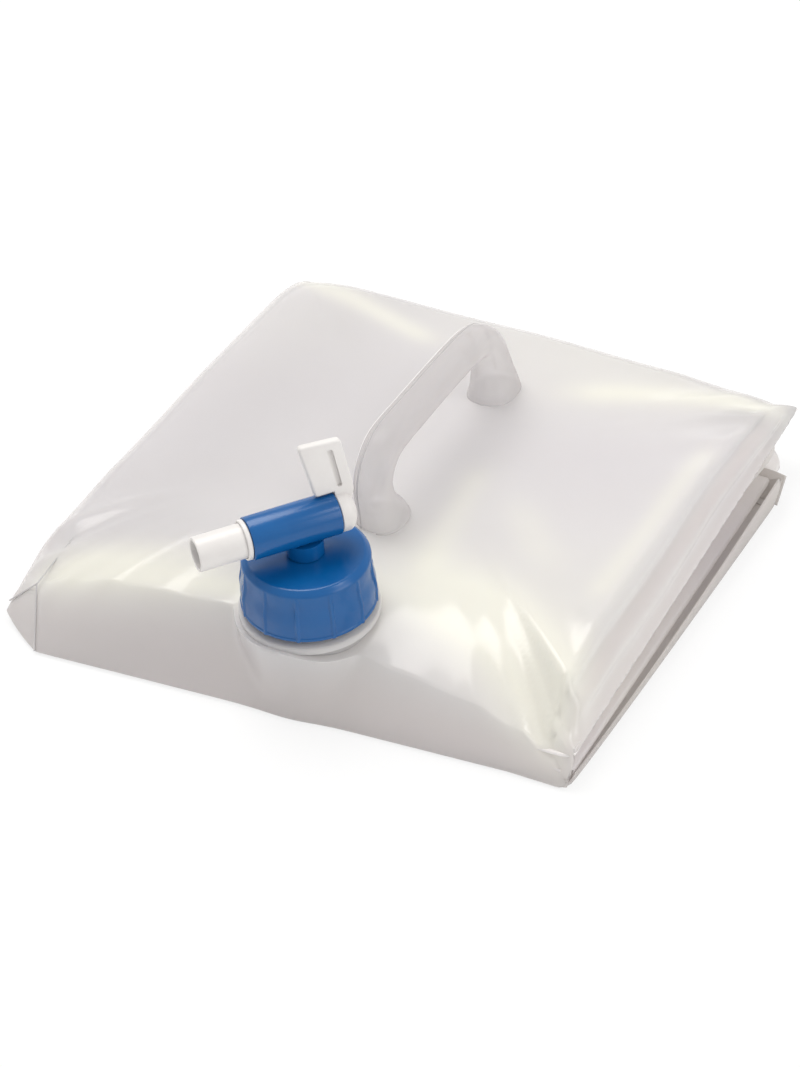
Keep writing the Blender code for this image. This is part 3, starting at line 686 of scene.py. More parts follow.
baseSkin = {
    "rows": 150,
    "flatShare": 0.86,
    "floor": 0.6 * mm,
    "lean": 2 * mm,             # how far the skirts lean out
    "flapOut": 7.0 * mm,        # how far the right skirt stands out, at its most
    "flapTop": 19.0 * mm,       # its height there
    "flapAt": 97.0 * mm,        # and how far back that is
    "dropAt": 103.0 * mm,       # where it starts to drop again, and where that ends
    "flapEnd": 107.0 * mm,
    "dipShare": 0.26,           # how much lower it is where it starts to drop
    "endPull": 8 * mm,          # how far its end is drawn forward, most at this place
    "endPullAt": 106 * mm,
    "endPullWidth": 11 * mm,
    "filmDepth": 0.5 * mm,
}
# How far the floor's corners are drawn in, as shares, at these places round the rim.
baseCutKnots = (0, 1, 2, 3, 3.6, 4, 4.5, 5, 6, 7, 8)
baseCutShares = (0.075, 0.02, 0.006, 0.006, 0.02, 0.14, 0.06, 0.03, 0.045, 0.02, 0.075)
# The ear's back: its outer and its inner edge, each from its foot to its head.
earOuter = np.array([(146.6, 98.0, 1.0), (147.4, 106.2, 13.6)]) * mm
earInner = np.array([(126.0, 100.0, 4.0), (125.0, 106.0, 13.4)]) * mm
earBow = 2.4 * mm


def makeBaseSkin():
    # The floor face, and a skirt that stands up to each lower crease and leans out a little. The
    # right skirt swells out and rises towards the back, ends there in an ear and drops again.
    out, ex, ey, along = ringPlaces(baseSkin["rows"])
    flat = baseSkin["flatShare"]
    inner = np.clip(out / flat, 0.0, 1.0)
    rise = np.clip((out - flat) / (1 - flat), 0.0, 1.0)
    lift = topSkin["rimLift"]
    sideFront, sideBack = lowerSideFront - lift, lowerSideBack - lift
    front, back = crease["front_lower"][2] - lift, crease["back_lower"][2] - lift
    corner = (front + sideFront) / 2
    rim = eased(along, rimKnots, (corner, front, front, corner, sideFront, sideBack, sideBack,
                                  back, back, sideBack, sideBack, sideFront, corner))
    right = (along > 2.0) & (along < 4.0)
    at, dropAt, end = baseSkin["flapAt"], baseSkin["dropAt"], baseSkin["flapEnd"]
    toFlap = np.clip((ey * half + half) / (at + half), 0.0, 1.0)
    drop = 1 - smoothStep((ey * half - dropAt) / (end - dropAt))
    lower = 1 - baseSkin["dipShare"] * smoothStep((ey * half - at) / (dropAt - at) + 0.5)
    flap = np.where(right, toFlap ** 0.75 * drop, 0.0)
    rim = rim + (baseSkin["flapTop"] * lower - rim) * np.where(right, toFlap ** 2.2 * drop, 0.0)
    cut = cornerCut(ex, ey, np.interp(along, baseCutKnots, baseCutShares))
    turn = rise * math.pi / 2
    reach = half - baseSkin["lean"] * (1 - np.sin(turn))
    x = ex * reach * inner * cut + baseSkin["flapOut"] * flap * smoothStep(out / 0.92 - 0.1)
    y = ey * reach * inner * cut
    z = baseSkin["floor"] + (rim - baseSkin["floor"]) * (1 - np.cos(turn))
    pull = np.exp(-((y - baseSkin["endPullAt"]) / baseSkin["endPullWidth"]) ** 2) * (1 - rise)
    y = y - baseSkin["endPull"] * pull * right * smoothStep((out - 0.8) / 0.06)
    skin = surface("baseSkin", np.stack([x, y, z], axis=-1)[::-1], baseFilm, sharp=60.0)
    # the ear's back: a bowed panel that closes the flap's end, from its outer edge inwards
    t, v = np.meshgrid(np.linspace(0.0, 1.0, 24), np.linspace(0.0, 1.0, 16), indexing="ij")
    t, v = t[..., None], v[..., None]
    low = earOuter[0] * (1 - t) + earInner[0] * t
    high = earOuter[1] * (1 - t) + earInner[1] * t
    panel = low + (high - low) * v
    panel = panel + np.array((0.0, earBow, 0.0)) * np.sin(math.pi * t) * v
    ear = surface("flapEar", panel, baseFilm, sharp=60.0)
    for piece in (skin, ear):
        thicken(piece, baseSkin["filmDepth"])
        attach(piece, "base")
        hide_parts("base_film")


foldSkin = {
    "columns": 150,
    "rows": 46,
    "turnRadius": 1.2 * mm,     # of the film where it turns in at a crease
    "skirtRun": 1.5 * mm,       # how far it runs up behind the skirt
    "plane": 0.65 * mm,         # how far the film lies off the joint's plane
    "inset": 0.45 * mm,         # and inside the wall's line
    "filmDepth": 0.4 * mm,
    "creaseGap": 0.3 * mm,      # how far short of the middle crease it ends
    "arcShare": 0.18,           # of its rows, up to the end of the turn
    "skirtShare": 0.06,         # and up to the end of the skirt
    "endGap": 1.6 * mm,
    "roundShare": 0.42,         # of a corner's cut, how deep it reaches
    "endDrawShare": 0.04,       # of its depth, how far a front or back film's end draws in
    "wave": 0.22 * mm,
    "waveSize": 55 * mm,
    "solidInset": 0.6 * mm,     # how far its solid stays inside the wall's line
    "upperDip": 2.5 * mm,       # how far a side film falls or rises to its middle crease
    "lowerDip": 2.0 * mm,
}
# How far the films are cut back at each corner, beside the crease.
cornerRounds = {
    "upper": {"front_left": 26 * mm, "front_right": 4 * mm, "back_right": 35 * mm, "back_left": 16 * mm},
    "lower": {"front_left": 26 * mm, "front_right": 4 * mm, "back_right": 19 * mm, "back_left": 14 * mm},
}


def makeFoldSkin(name, place, alongAxis, inward, depths, reach, endLean, up, rounds):
    # A cross-section that comes down the skirt, turns in round an arc at the crease and runs
    # straight to the middle crease, carried along the wall. Its depth runs evenly from end to end.
    alongAxis = unit(alongAxis)
    inward = unit(inward)
    normal = unit(np.cross(alongAxis, inward))
    if normal[2] * up < 0:
        normal = -normal
    radius = foldSkin["turnRadius"]
    plane = foldSkin["plane"]
    inset = foldSkin["inset"]
    arcShare, skirtShare = foldSkin["arcShare"], foldSkin["skirtShare"]
    wide = np.linspace(-1.0, 1.0, foldSkin["columns"])
    deepShares = np.linspace(0.0, 1.0, foldSkin["rows"])
    u, v = np.meshgrid(wide, deepShares, indexing="ij")
    deep = depths[0] + (depths[1] - depths[0]) * (u + 1) / 2 - foldSkin["creaseGap"]
    arc = np.clip((v - skirtShare) / (arcShare - skirtShare), 0.0, 1.0) * math.pi / 2
    run = np.clip((v - arcShare) / (1 - arcShare), 0.0, 1.0)
    skirt = np.clip(1 - v / skirtShare, 0.0, 1.0)
    inside = inset + radius * (1 - np.cos(arc)) + run * (deep - radius - inset)
    off = plane + radius * (1 - np.sin(arc)) + skirt * foldSkin["skirtRun"]
    ripple = softNoise(u * reach, inside, foldSkin["waveSize"], len(name) + int(up * 3))
    off = off + foldSkin["wave"] * ripple * smoothStep(run * 6) * smoothStep((1 - run) * 6)
    cornerRound = np.where(u > 0, rounds[1], rounds[0])
    gap = foldSkin["endGap"] + cornerRound * np.exp(-inside / (foldSkin["roundShare"] * cornerRound))
    leanIn = np.where(u > 0, endLean[1], endLean[0]) * inside
    sideways = u * (reach - gap - leanIn)
    grid = place + sideways[..., None] * alongAxis + inside[..., None] * inward + off[..., None] * normal
    piece = surface(name, grid, foldFilm, sharp=60.0)
    thicken(piece, foldSkin["filmDepth"], 0.0)
    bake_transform(piece)
    return piece


def sideNear(name, sign):
    # the side fold's depth at its front end, from its solid's own inner corner there
    tuck = frame["nodes"][name + "_tuck"]
    points = np.array([vertex.co for vertex in tuck.data.vertices])
    front = points[points[:, 1] < points[:, 1].min() + 20 * mm]
    return float(np.abs(front[:, 0] - sign * wallLine).max()) + foldSkin["solidInset"]


def makeFoldSkins():
    for name in crease:
        wall, level = name.split("_")
        isUpper = level == "upper"
        up = 1 if isUpper else -1
        place = crease[name].copy()
        if wall in ("left", "right"):
            slope = upperSlope if isUpper else lowerSlope
            alongAxis = np.array([0.0, 1.0, slope])
            sign = 1.0 if wall == "right" else -1.0
            tuckLow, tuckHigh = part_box(name + "_tuck")
            farDepth = (wallLine - tuckLow.x) if wall == "right" else (tuckHigh.x + wallLine)
            depths = (sideNear(name, sign), farDepth)
            dip = -up * foldSkin[level + "Dip"]
            inward = np.array([-sign * farDepth, 0.0, dip])
            lean = (0.0, slope) if isUpper else (slope, 0.0)
            corners = ("front_" + wall, "back_" + wall)
        else:
            alongAxis = np.array([1.0, 0.0, 0.0])
            sign = 1.0 if wall == "back" else -1.0
            low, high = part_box(name + "_fold")
            farEdge = low.y if wall == "back" else high.y
            depth = abs(place[1] - farEdge) + foldSkin["solidInset"]
            depths = (depth, depth)
            middle = (crease[wall + "_upper"][2] + crease[wall + "_lower"][2]) / 2
            inward = np.array([0.0, -sign * depth, middle - place[2]])
            # drawn in towards the middle crease, so that the standing films clear the side walls
            lean = (foldSkin["endDrawShare"], foldSkin["endDrawShare"])
            corners = (wall + "_left", wall + "_right")
        rounds = [cornerRounds[level][corner] for corner in corners]
        piece = makeFoldSkin(name + "Film", place, alongAxis, inward,
                             depths, wallLine, lean, up, rounds)
        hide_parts(name + "_fold", name + "_tuck")


makeTopSkin()
makeSeams()
makeBaseSkin()
makeFoldSkins()
print("bag skins made")


# The neck

neck = {
    "boreRadius": 20.5 * mm,
    "rootRadius": 22.3 * mm,    # of the tube between its threads
    "crestRadius": 23.2 * mm,
    "tubeTop": 19.4 * mm,
    "lip": 0.9,                 # how far the mouth's edges are cut off, in millimetres
    "threadPitch": 6.0 * mm,
    "threadTurns": 2.0,
    "threadStart": 4.5 * mm,    # above the tube's foot
    "threadShare": 0.20,        # of the pitch, half a ridge, and the slope at its side
    "threadSlope": 0.13,
    "collarTop": -2.8 * mm,
    "collarFoot": -6.6 * mm,
    "collarRadius": 31.2 * mm,
    "bossRadius": 29.9 * mm,
    "bossBow": 1.2 * mm,
    "bossFoot": -42.5 * mm,
    "bossFootRadius": 13.0 * mm,
    "bossWall": 0.8 * mm,
}


def makeNeck():
    # the tube: a straight wall with a helical ridge, whose height at any angle repeats each pitch
    bore, root = neck["boreRadius"], neck["rootRadius"]
    top, foot = neck["tubeTop"], neck["collarTop"] - 1 * mm
    heights = np.linspace(foot, top - 0.8 * mm, 96)
    outer = np.stack([np.full_like(heights, root), heights], axis=-1)
    lip = profilePoints([(root, top - 0.4 * mm), (root, top), (bore, top), (bore, top - 2 * mm)],
                        (0, neck["lip"], neck["lip"], 0))
    profile = closedTurn(np.concatenate([outer, lip, np.array([(bore, foot)])]))
    first = foot + neck["threadStart"]

    def thread(points, angle):
        climb = (points[:, 1:2] - first) / neck["threadPitch"] - angle / (2 * math.pi)
        share = np.abs(climb - np.round(climb))
        ridge = smoothStep((neck["threadShare"] - share) / neck["threadSlope"])
        ends = smoothStep((climb + 0.5) * 3) * smoothStep((neck["threadTurns"] - climb) * 3)
        isOuter = (points[:, :1] == root) * 1.0
        return (neck["crestRadius"] - root) * ridge * ends * isOuter

    tube = turnedPiece("neckTube", fromInside, profile, mouldedClear, swell=thread)
    collarTop, collarFoot, collarOut = neck["collarTop"], neck["collarFoot"], neck["collarRadius"]
    collarIn = bore + 1 * mm
    corners = [(collarIn, collarTop), (collarOut, collarTop), (collarOut, collarFoot), (collarIn, collarFoot)]
    ring = roundedRing(corners, (0, 0.9, 1.2, 0))
    collar = turnedPiece("neckCollar", fromInside, ring, collarClear)
    # the boss: a hollow cone whose side bows out a little, with a round foot
    head, end, low = neck["bossRadius"], neck["bossFootRadius"], neck["bossFoot"]
    t = np.linspace(0.0, 1.0, 30)
    side = head + (end - head) * t + neck["bossBow"] * np.sin(t * math.pi)
    drop = collarFoot + 0.2 * mm + (low - collarFoot) * t
    foot = np.array([(end - 3 * mm, low - 0.8 * mm), (0.0, low - 1.2 * mm)])
    cone = np.concatenate([np.stack([side, drop], axis=-1), foot])
    boss = turnedPiece("neckBoss", fromInside, cone, bossClear)
    thicken(boss, neck["bossWall"])
    for piece in (tube, collar, boss):
        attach(piece, "top")
        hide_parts("neck")


# The handle

handle = {
    "start": -72.0 * mm,
    "length": 154.0 * mm,
    "height": 44.5 * mm,
    "middle": 9.0 * mm,
    "grip": 14.0 * mm,
    "width": 17.0 * mm,
    "sides": 64,
    "steps": 200,
    "squareness": 0.80,         # below 1, the oval is squarer
    "seam": 0.35 * mm,
    "seamRadius": 0.28 * mm,    # of the fine mould lines along its left side
    "seamColumns": (44, 39, 34),
    "footSteps": 12,            # over which each end turns level, and its slope there
    "frontSlope": -0.12,
    "backSlope": -0.05,
}
# Its middle line: shares of length and height, then of the grip's depth and width.
handleLine = (
    (0.110, 0.000, 2.00, 1.41), (0.091, 0.128, 1.57, 1.18), (0.065, 0.330, 1.29, 1.03),
    (0.052, 0.555, 1.21, 1.00), (0.078, 0.757, 1.14, 1.00), (0.143, 0.881, 1.07, 1.00),
    (0.305, 0.915, 1.00, 1.00), (0.532, 0.937, 1.00, 1.00), (0.695, 0.926, 1.04, 1.00),
    (0.779, 0.847, 1.14, 1.00), (0.831, 0.667, 1.29, 1.00), (0.864, 0.420, 1.50, 1.04),
    (0.883, 0.196, 1.79, 1.18), (0.896, 0.000, 2.14, 1.41),
)


def smoothLine(points, count):
    # a curve through the points: on each span, the Catmull-Rom cubic of its ends and their neighbours
    points = np.asarray(points, float)
    padded = np.concatenate([2 * points[:1] - points[1:2], points, 2 * points[-1:] - points[-2:-1]])
    place = np.linspace(0.0, len(points) - 1.0, count)
    index = np.clip(place.astype(int), 0, len(points) - 2)
    t = (place - index)[:, None]
    a, b, c, d = (padded[index + k] for k in range(4))
    square, cubic = 2 * a - 5 * b + 4 * c - d, 3 * b - a - 3 * c + d
    return 0.5 * (2 * b + (c - a) * t + square * t ** 2 + cubic * t ** 3)


def makeHandle():
    # an oval carried along the middle line, square to it, with a raised moulding seam along its
    # inner and outer faces and three fine mould lines down its left side, the middle one bright as a painted
    # highlight line
    line = smoothLine(handleLine, handle["steps"])
    topLevel = topHigh.z - shoulderCrown
    y = handle["start"] + handle["length"] * line[:, 0]
    z = topLevel + 0.4 * mm + handle["height"] * line[:, 1]
    run = np.stack([np.gradient(y), np.gradient(z)], axis=-1)
    run /= np.linalg.norm(run, axis=1, keepdims=True)
    step = np.arange(handle["steps"])
    level = smoothStep(np.minimum(step, step[::-1]) / handle["footSteps"])[:, None]
    ends = (handle["frontSlope"], 1.0), (-handle["backSlope"], -1.0)
    flat = np.where(step[:, None] < handle["steps"] / 2, *ends)
    run = run * level + flat * (1 - level)
    run /= np.linalg.norm(run, axis=1, keepdims=True)
    angle = np.linspace(0.0, 2.0 * math.pi, handle["sides"], endpoint=False)
    cosine, sine = (np.sign(wave) * np.abs(wave) ** handle["squareness"]
                    for wave in (np.cos(angle), np.sin(angle)))
    seam = 1 + handle["seam"] / handle["grip"] * np.exp(-(np.cos(angle) / 0.05) ** 2)
    across = handle["width"] / 2 * line[:, 3:4] * cosine
    out = handle["grip"] / 2 * line[:, 2:3] * sine * seam
    x = handle["middle"] + across
    grid = np.stack([x, y[:, None] + run[:, 1:2] * out, z[:, None] - run[:, :1] * out], axis=-1)
    grid[..., 2] = np.maximum(grid[..., 2], topLevel + 0.25 * mm)
    pieces = [surface("handleLoop", grid, handleClear, closeAcross=True, sharp=60.0)]
    for index, (column, tone) in enumerate(zip(handle["seamColumns"], (seamFilm, weldFilm, seamFilm))):
        line = grid[4:-4, column]
        pieces.append(pipe("handleSeam" + str(index + 1), line, handle["seamRadius"], tone, 8))
    for piece in pieces:
        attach(piece, "top")
        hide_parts("handle")


# The cap

cap = {
    "height": 25.5 * mm,
    "radius": 28.2 * mm,
    "skirtRadius": 29.6 * mm,
    "skirtHeight": 10.5 * mm,
    "flangeRadius": 30.0 * mm,
    "flangeHeight": 1.8 * mm,
    "innerRadius": 23.6 * mm,
    "ceiling": 22.1 * mm,
    "hole": 6.1 * mm,
    "ribs": 12,
    "ribHeight": 0.8 * mm,
    "ribWidth": 0.030,          # radians, half
    "ribTop": 22.6 * mm,
    "bevel": 2.4 * mm,
    "bandFoot": 5.0 * mm,       # where the upper band ends, above the skirt, and the skirt below it
    "skirtDrop": 1.5 * mm,
    "ribTurn": 0.33,            # radians, of the first rib
    "ribReach": 1.35,           # a rib's width at its foot, as a share of ribWidth
    "steps": 540,
}


def makeCap():
    # a turned shell: flange, a lower skirt that stands out, an upper band and a rounded edge;
    # the ribs are narrow bells of the angle, fading out at both ends
    corners = [
        (cap["hole"], cap["height"]), (cap["radius"] - cap["bevel"], cap["height"]),
        (cap["radius"], cap["height"] - cap["bevel"]),
        (cap["radius"], cap["skirtHeight"] + cap["bandFoot"]),
        (cap["skirtRadius"], cap["skirtHeight"] - cap["skirtDrop"]),
        (cap["skirtRadius"], cap["flangeHeight"]), (cap["flangeRadius"], cap["flangeHeight"] - 0.4 * mm),
        (cap["flangeRadius"], 0.0), (cap["innerRadius"], 0.0),
        (cap["innerRadius"], cap["ceiling"]), (cap["hole"], cap["ceiling"]),
    ]
    profile = profilePoints(corners, (0.3, 0.9, 0.9, 2.5, 2.0, 0.3, 0.4, 0.5, 0.6, 0.5, 0.3), 6)
    band = np.linspace(0.0, 1.0, 14)[1:-1, None]
    tall = np.argmax(np.abs(np.diff(profile[:, 1])) * (profile[:-1, 0] > cap["radius"] - 0.1 * mm))
    profile = np.concatenate([profile[:tall + 1], profile[tall] + (profile[tall + 1] - profile[tall]) * band,
                              profile[tall + 1:]])

    def ribs(points, angle):
        step = 2 * math.pi / cap["ribs"]
        near = (angle - cap["ribTurn"]) / step
        share = np.abs(near - np.round(near)) * step
        rib = smoothStep(cap["ribReach"] - share / cap["ribWidth"])
        rise = smoothStep((cap["ribTop"] - points[:, 1:2]) / (1.6 * mm))
        outside = (points[:, :1] > cap["radius"] - 0.1 * mm) * 1.0
        room = np.clip(cap["flangeRadius"] + 0.3 * mm - points[:, :1], 0.0, cap["ribHeight"])
        return rib * rise * outside * room

    piece = turnedPiece("capShell", onNeck, closedTurn(profile), bluePlastic, cap["steps"], ribs, 38.0)
    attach(piece, "cap")
    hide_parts("screw_cap")


# The tap

tap = {
    "barrelRadius": 9.6 * mm,
    "boreRadius": 8.0 * mm,
    "barrelBack": -25.4 * mm,
    "barrelFront": 14.9 * mm,
    "lift": 16.2 * mm,
    "bossRadius": 8.3 * mm,
    "spigotRadius": 5.8 * mm,
    "clipRadius": 8.0 * mm,
    "spoutRadius": 7.7 * mm,
    "spoutWall": 1.5 * mm,
    "spoutEnd": -48.8 * mm,
    "plugFront": 12.0 * mm,
    "stemRadius": 4.0 * mm,
    "stemEnd": 18.1 * mm,
    "collarEnd": -27.8 * mm,
    "ringRadius": 8.9 * mm,
    "portRadius": 3.5 * mm,
    "bossHead": -8.15 * mm,     # where the port boss meets the barrel
    "bossFoot": 0.3 * mm,       # above the cap's top, and the clip's two ends below it
    "clipHead": -3.7 * mm,
    "clipFoot": -5.1 * mm,
    "boreNeck": 1.2 * mm,       # how much the spout's bore narrows, and from where to where
    "neckNear": -13.0 * mm,
    "neckFar": -10.0 * mm,
    "boreEnd": 7.0 * mm,
}


def acrossTap(grid):
    # turned about the neck's axis, on the tap's centre
    return onTap(np.stack([grid[..., 0], grid[..., 2], -grid[..., 1]], axis=-1))


def makeBarrel():
    # the barrel: a tube with softened ends
    front, back = tap["barrelFront"], tap["barrelBack"]
    bore, radius = tap["boreRadius"], tap["barrelRadius"]
    corners = [(bore, front), (radius, front), (radius, back), (bore, back)]
    barrel = turnedPiece("tapBarrel", onTap, roundedRing(corners, (0.2, 0.5, 0.5, 0.2)), bluePlastic)
    # the port boss on the cap, and below it the spigot and its clip inside the cap
    port, boss, spigot, clip = (tap[name + "Radius"] for name in ("port", "boss", "spigot", "clip"))
    foot, grip, end = (tap[name] - tap["lift"] for name in ("bossFoot", "clipHead", "clipFoot"))
    head = tap["bossHead"]
    corners = [(port, head), (boss, head), (boss, foot), (spigot, foot), (spigot, grip), (clip, grip),
               (clip - 0.8 * mm, end), (port, end)]
    ring = roundedRing(corners, (0, 0, 0.2, 0.1, 0.1, 0.3, 0.3, 0.2))
    boss = turnedPiece("portBoss", acrossTap, ring, bluePlastic, 96)
    for piece in (barrel, boss):
        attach(piece, "cap")
        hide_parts("tap_barrel")


def makeSpout():
    # the plug: stem, solid front and the open spout, with its bore worked up from the mouth
    r, wall, end = tap["spoutRadius"], tap["spoutWall"], tap["spoutEnd"]
    hollow = r - wall
    stem, stemEnd, front = tap["stemRadius"], tap["stemEnd"], tap["plugFront"]
    narrow, boreEnd = hollow - tap["boreNeck"], tap["boreEnd"]
    corners = [(0.0, stemEnd), (stem, stemEnd), (stem, front), (r, front), (r, end), (hollow, end),
               (hollow, tap["neckNear"]), (narrow, tap["neckFar"]), (narrow, boreEnd), (0.0, boreEnd)]
    profile = profilePoints(corners, (0, 0.4, 0.3, 0.6, 0.5, 0.4, 0.3, 0.3, 0.6, 0))
    plug = turnedPiece("spoutTube", onTap, profile, whitePlastic)
    near, far = tap["barrelBack"] - 0.3 * mm, tap["collarEnd"]
    corners = [(r + 0.3 * mm, near), (tap["ringRadius"], near), (tap["ringRadius"], far + 0.2 * mm),
               (r + 0.7 * mm, far), (r + 0.3 * mm, far)]
    ring = roundedRing(corners, (0.1, 0.3, 0.7, 0.3, 0.1))
    collar = turnedPiece("spoutRing", onTap, ring, whitePlastic)
    for piece, node in ((plug, "spout_plug"), (collar, "spout_collar")):
        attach(piece, "tap")
        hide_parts(node)


lever = {
    "rise": math.radians(102.0),
    "length": 35.0 * mm,
    "tipWidth": 19.0 * mm,
    "rootWidth": 14.6 * mm,
    "stemWidth": 6.1 * mm,
    "thickness": 4.2 * mm,
    "hubRadius": 9.1 * mm,
    "hubNear": 15.2 * mm,
    "hubFar": 21.3 * mm,
    "dome": 2.4 * mm,
    "socket": 4.3 * mm,
    "socketEnd": 18.4 * mm,
    "foot": 4.5 * mm,           # where the blade's stem starts, out from the axis
    "knee": 10.4 * mm,          # and where the blade widens
    "edge": 1.1 * mm,           # how far the blade's edge is rounded
    "slotDepth": 1.6 * mm,
    "slotWidth": 2.4 * mm,
}


def leverPlace(rings, heights):
    # the blade's own frame: along the tap's axis, out from it, and square to both, one height a ring
    swing = lever["rise"]
    direction = np.array([-math.cos(swing), math.sin(swing), 0.0])
    square = np.array([math.sin(swing), math.cos(swing), 0.0])
    local = rings[..., 1:] * direction + heights[:, None, None] * square
    local[..., 2] = rings[..., 0]
    return onTap(local)


def makeLever():
    # the hub: a short round with a domed face over the plug's stem
    near, far, radius = lever["hubNear"], lever["hubFar"], lever["hubRadius"]
    quarter = np.linspace(0.0, 1.0, 16) * math.pi / 2
    dome = np.stack([radius * np.sin(quarter), far + lever["dome"] * (2.2 * np.cos(quarter) - 1.2)], axis=-1)
    socket, socketEnd = lever["socket"], lever["socketEnd"]
    rest = [(radius, near + 3 * mm), (radius, near), (socket, near), (socket, socketEnd), (0.0, socketEnd)]
    rest = profilePoints(rest, (0, 0.6, 0.2, 0.3, 0))
    hub = turnedPiece("leverHub", onTap, np.concatenate([dome, rest]), whitePlastic, 96)
    # the blade: nested copies of its outline, drawn in over the edge in a quarter circle on each face
    length, foot, knee = lever["length"], lever["foot"], lever["knee"]
    tipLeft, rootLeft, stemLeft = far - lever["tipWidth"], far - lever["rootWidth"], far - lever["stemWidth"]
    outline = profilePoints(
        [(stemLeft, foot), (far + 1.0 * mm, foot), (far + 3.2 * mm, knee - 0.4 * mm),
         (far, length - 1.0 * mm), (tipLeft, length), (rootLeft, knee), (stemLeft, knee)],
        (0.5, 0.5, 2.5, 1.6, 2.2, 1.2, 0.0), 9)
    outline = evenRing(outline, 200)
    centre = np.array([far - 3.0 * mm, 10.9 * mm + 0.25 * length])
    halfThick, edge = lever["thickness"] / 2, lever["edge"]
    quarter = np.linspace(0.0, math.pi / 2, 6)
    closing, opening = edge * (1 - np.sin(quarter)), edge * (1 - np.cos(quarter))
    draws = np.concatenate([closing, opening])
    levels = np.concatenate([-halfThick + opening, halfThick - closing])
    inner = np.linspace(0.0, 1.0, 26)[1:]
    rings = [shrunk(outline, centre, draw) for draw in draws]
    frontRings = [rings[0] + (centre - rings[0]) * share for share in inner[::-1]]
    backRings = [rings[-1] + (centre - rings[-1]) * share for share in inner]
    allRings = np.stack(frontRings + rings + backRings)
    heights = np.concatenate([np.full(len(inner), -halfThick), levels, np.full(len(inner), halfThick)])
    blade = surface("leverBlade", leverPlace(allRings, heights), whitePlastic, closeAcross=True, sharp=50.0)
    # a round-ended slot beside the outer edge, cut into the face that looks at the spout
    slotLeft, slotTop, slotFoot = far - 4.4 * mm, length - 4.6 * mm, 12.5 * mm
    slotLine = [(slotLeft, slotFoot), (slotLeft + lever["slotWidth"], slotFoot),
                (slotLeft - 2.2 * mm + lever["slotWidth"], slotTop), (slotLeft - 2.6 * mm, slotTop)]
    slotRing = evenRing(profilePoints(slotLine, (0.9, 0.9, 0.9, 0.9), 6), 48)
    depths = np.array((-halfThick - 1.0 * mm, -halfThick + lever["slotDepth"]))
    slotGrid = capped(leverPlace(np.stack([slotRing, slotRing]), depths))
    cutter = surface("leverSlotCut", slotGrid, whitePlastic, closeAcross=True)
    carve(blade, cutter)
    for piece in (hub, blade):
        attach(piece, "tap")
        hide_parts("lever")


def evenRing(points, count):
    # a closed line walked at equal steps of its length
    loop = np.concatenate([points, points[:1]])
    length = np.concatenate([[0.0], np.cumsum(np.linalg.norm(np.diff(loop, axis=0), axis=1))])
    place = np.linspace(0.0, length[-1], count, endpoint=False)
    return np.stack([np.interp(place, length, loop[:, 0]), np.interp(place, length, loop[:, 1])], axis=-1)


def shrunk(ring, centre, draw):
    # each point moved in towards the centre by a length
    way = centre - ring
    return ring + way / np.linalg.norm(way, axis=1, keepdims=True) * draw


def outward(piece):
    # normals made to point out of a closed mesh
    work = bmesh.new()
    work.from_mesh(piece.data)
    bmesh.ops.recalc_face_normals(work, faces=work.faces)
    work.to_mesh(piece.data)
    work.free()


def carve(piece, cutter):
    # cuts one closed mesh out of another, and leaves only the result
    outward(piece)
    outward(cutter)
    cut = piece.modifiers.new("cut", "BOOLEAN")
    cut.operation = "DIFFERENCE"
    cut.solver = "EXACT"
    cut.object = cutter
    bpy.context.view_layer.update()
    result = bpy.data.meshes.new_from_object(piece.evaluated_get(bpy.context.evaluated_depsgraph_get()))
    piece.modifiers.clear()
    piece.data = result
    result.set_sharp_from_angle(angle=math.radians(40.0))
    bpy.data.objects.remove(cutter)


makeNeck()
makeHandle()
makeCap()
makeBarrel()
makeSpout()
makeLever()
for node in ("cap_seal", "plug_ring_front", "plug_ring_rear"):
    frame["nodes"][node].data.materials.clear()
    frame["nodes"][node].data.materials.append(sealRubber)
print("rigid pieces made")


# Camera, floor and light

studio = {
    "eye": (0.46637527, -0.95199036, 0.74503997),
    "target": (0.0, 0.0, 0.030),
    "lens": 91.1,
    "shiftX": -0.01675,
    "shiftY": -0.0471,
    "world": 0.70,
    "floorGlow": 0.80,
    "floorReach": 6.0,
    "floorLevel": -0.4 * mm,
}


# Each lamp's place, target, width and length, power and colour.
lamps = {
    "overhead": ((-0.40, 0.12, 1.25), (0, 0, 0), (0.8, 0.8), 10.0, (1.0, 0.98, 0.94)),
    "sideFill": ((1.7, -0.25, 0.8), (0, 0, 0), (0.9, 0.9), 6.3, (1.0, 0.985, 0.965)),
    "glint": ((1.0, -0.10, 1.25), (0, -0.1, 0.06), (0.34, 0.34), 2.6, (1.0, 0.99, 0.97)),
    "backStrip": ((-0.55, 1.35, 0.50), (0, 0, 0.03), (1.5, 0.25), 0.7, (1.0, 0.99, 0.96)),
}


def aim(item, target):
    item.rotation_euler = (Vector(target) - item.location).to_track_quat("-Z", "Y").to_euler()


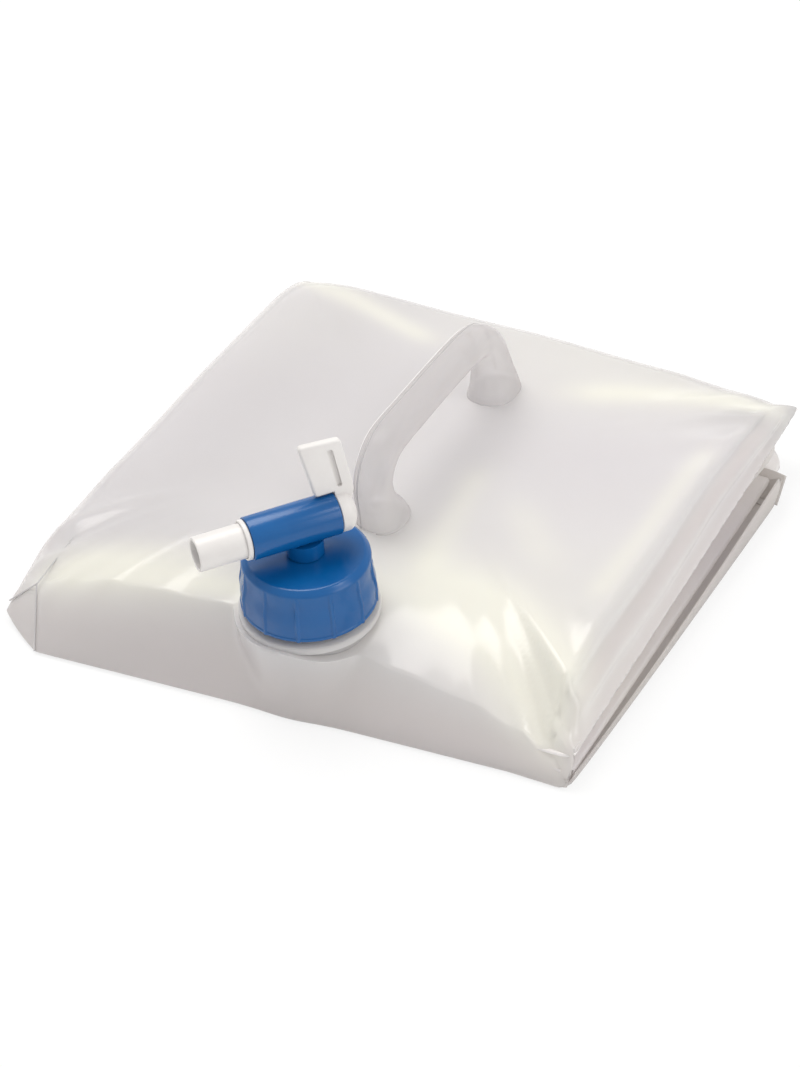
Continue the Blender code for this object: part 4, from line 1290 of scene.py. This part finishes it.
def makeCamera():
    camera = placed("camera", bpy.data.cameras.new("camera"), studio["eye"])
    aim(camera, studio["target"])
    camera.data.sensor_width = 36.0
    camera.data.lens = studio["lens"]
    camera.data.shift_x = studio["shiftX"]
    camera.data.shift_y = studio["shiftY"]
    camera.data.clip_start = 0.01
    bpy.context.scene.camera = camera


def makeLight(name, place, target, wide, power, colour):
    lamp = bpy.data.lights.new(name, "AREA")
    lamp.shape = "RECTANGLE"
    lamp.size, lamp.size_y = wide
    lamp.energy = power
    lamp.color = colour
    aim(placed(name, lamp, place), target)


def seenDirectly(tree):
    # 1 for camera and transmission rays, 0 for the rest
    ray = tree.nodes.new("ShaderNodeLightPath").outputs
    either = madeNode(tree, "Math", {0: ray["Is Camera Ray"], 1: ray["Is Transmission Ray"]})
    either.operation = "MAXIMUM"
    return either.outputs[0]


def makeFloor():
    # a plain pale floor that keeps the shadow, and glows for the camera so that it meets the backdrop
    mesh = bpy.data.meshes.new("floor")
    reach, level = studio["floorReach"], studio["floorLevel"]
    corners = [(-reach, -reach, level), (reach, -reach, level), (reach, reach, level), (-reach, reach, level)]
    mesh.from_pydata(corners, [], [(0, 1, 2, 3)])
    floor = placed("floor", mesh)
    material, tree, shader, _ = nodeMaterial("paleFloor")
    pale = {"Base Color": (0.90, 0.90, 0.90, 1.0), "Roughness": 0.9, "Specular IOR Level": 0.1}
    setInputs(tree, shader, pale)
    share = madeNode(tree, "Math", {0: seenDirectly(tree), 1: studio["floorGlow"]})
    share.operation = "MULTIPLY"
    mixSurface(tree, share.outputs[0], shader, madeNode(tree, "Emission", {}))
    mesh.materials.append(material)


def makeWorld():
    # an even white studio, at full strength where the camera sees it
    world = bpy.data.worlds.new("studio")
    bpy.context.scene.world = world
    world.use_nodes = True
    tree = world.node_tree
    sky = tree.nodes["Background"]
    level = rangeNode(tree, seenDirectly(tree), studio["world"], 1.0)
    setInputs(tree, sky, {"Color": (1.0, 1.0, 1.0, 1.0), "Strength": level})


makeCamera()
makeFloor()
makeWorld()
for name, values in lamps.items():
    makeLight(name, *values)
bpy.context.scene.view_settings.view_transform = "Standard"
print("studio made")
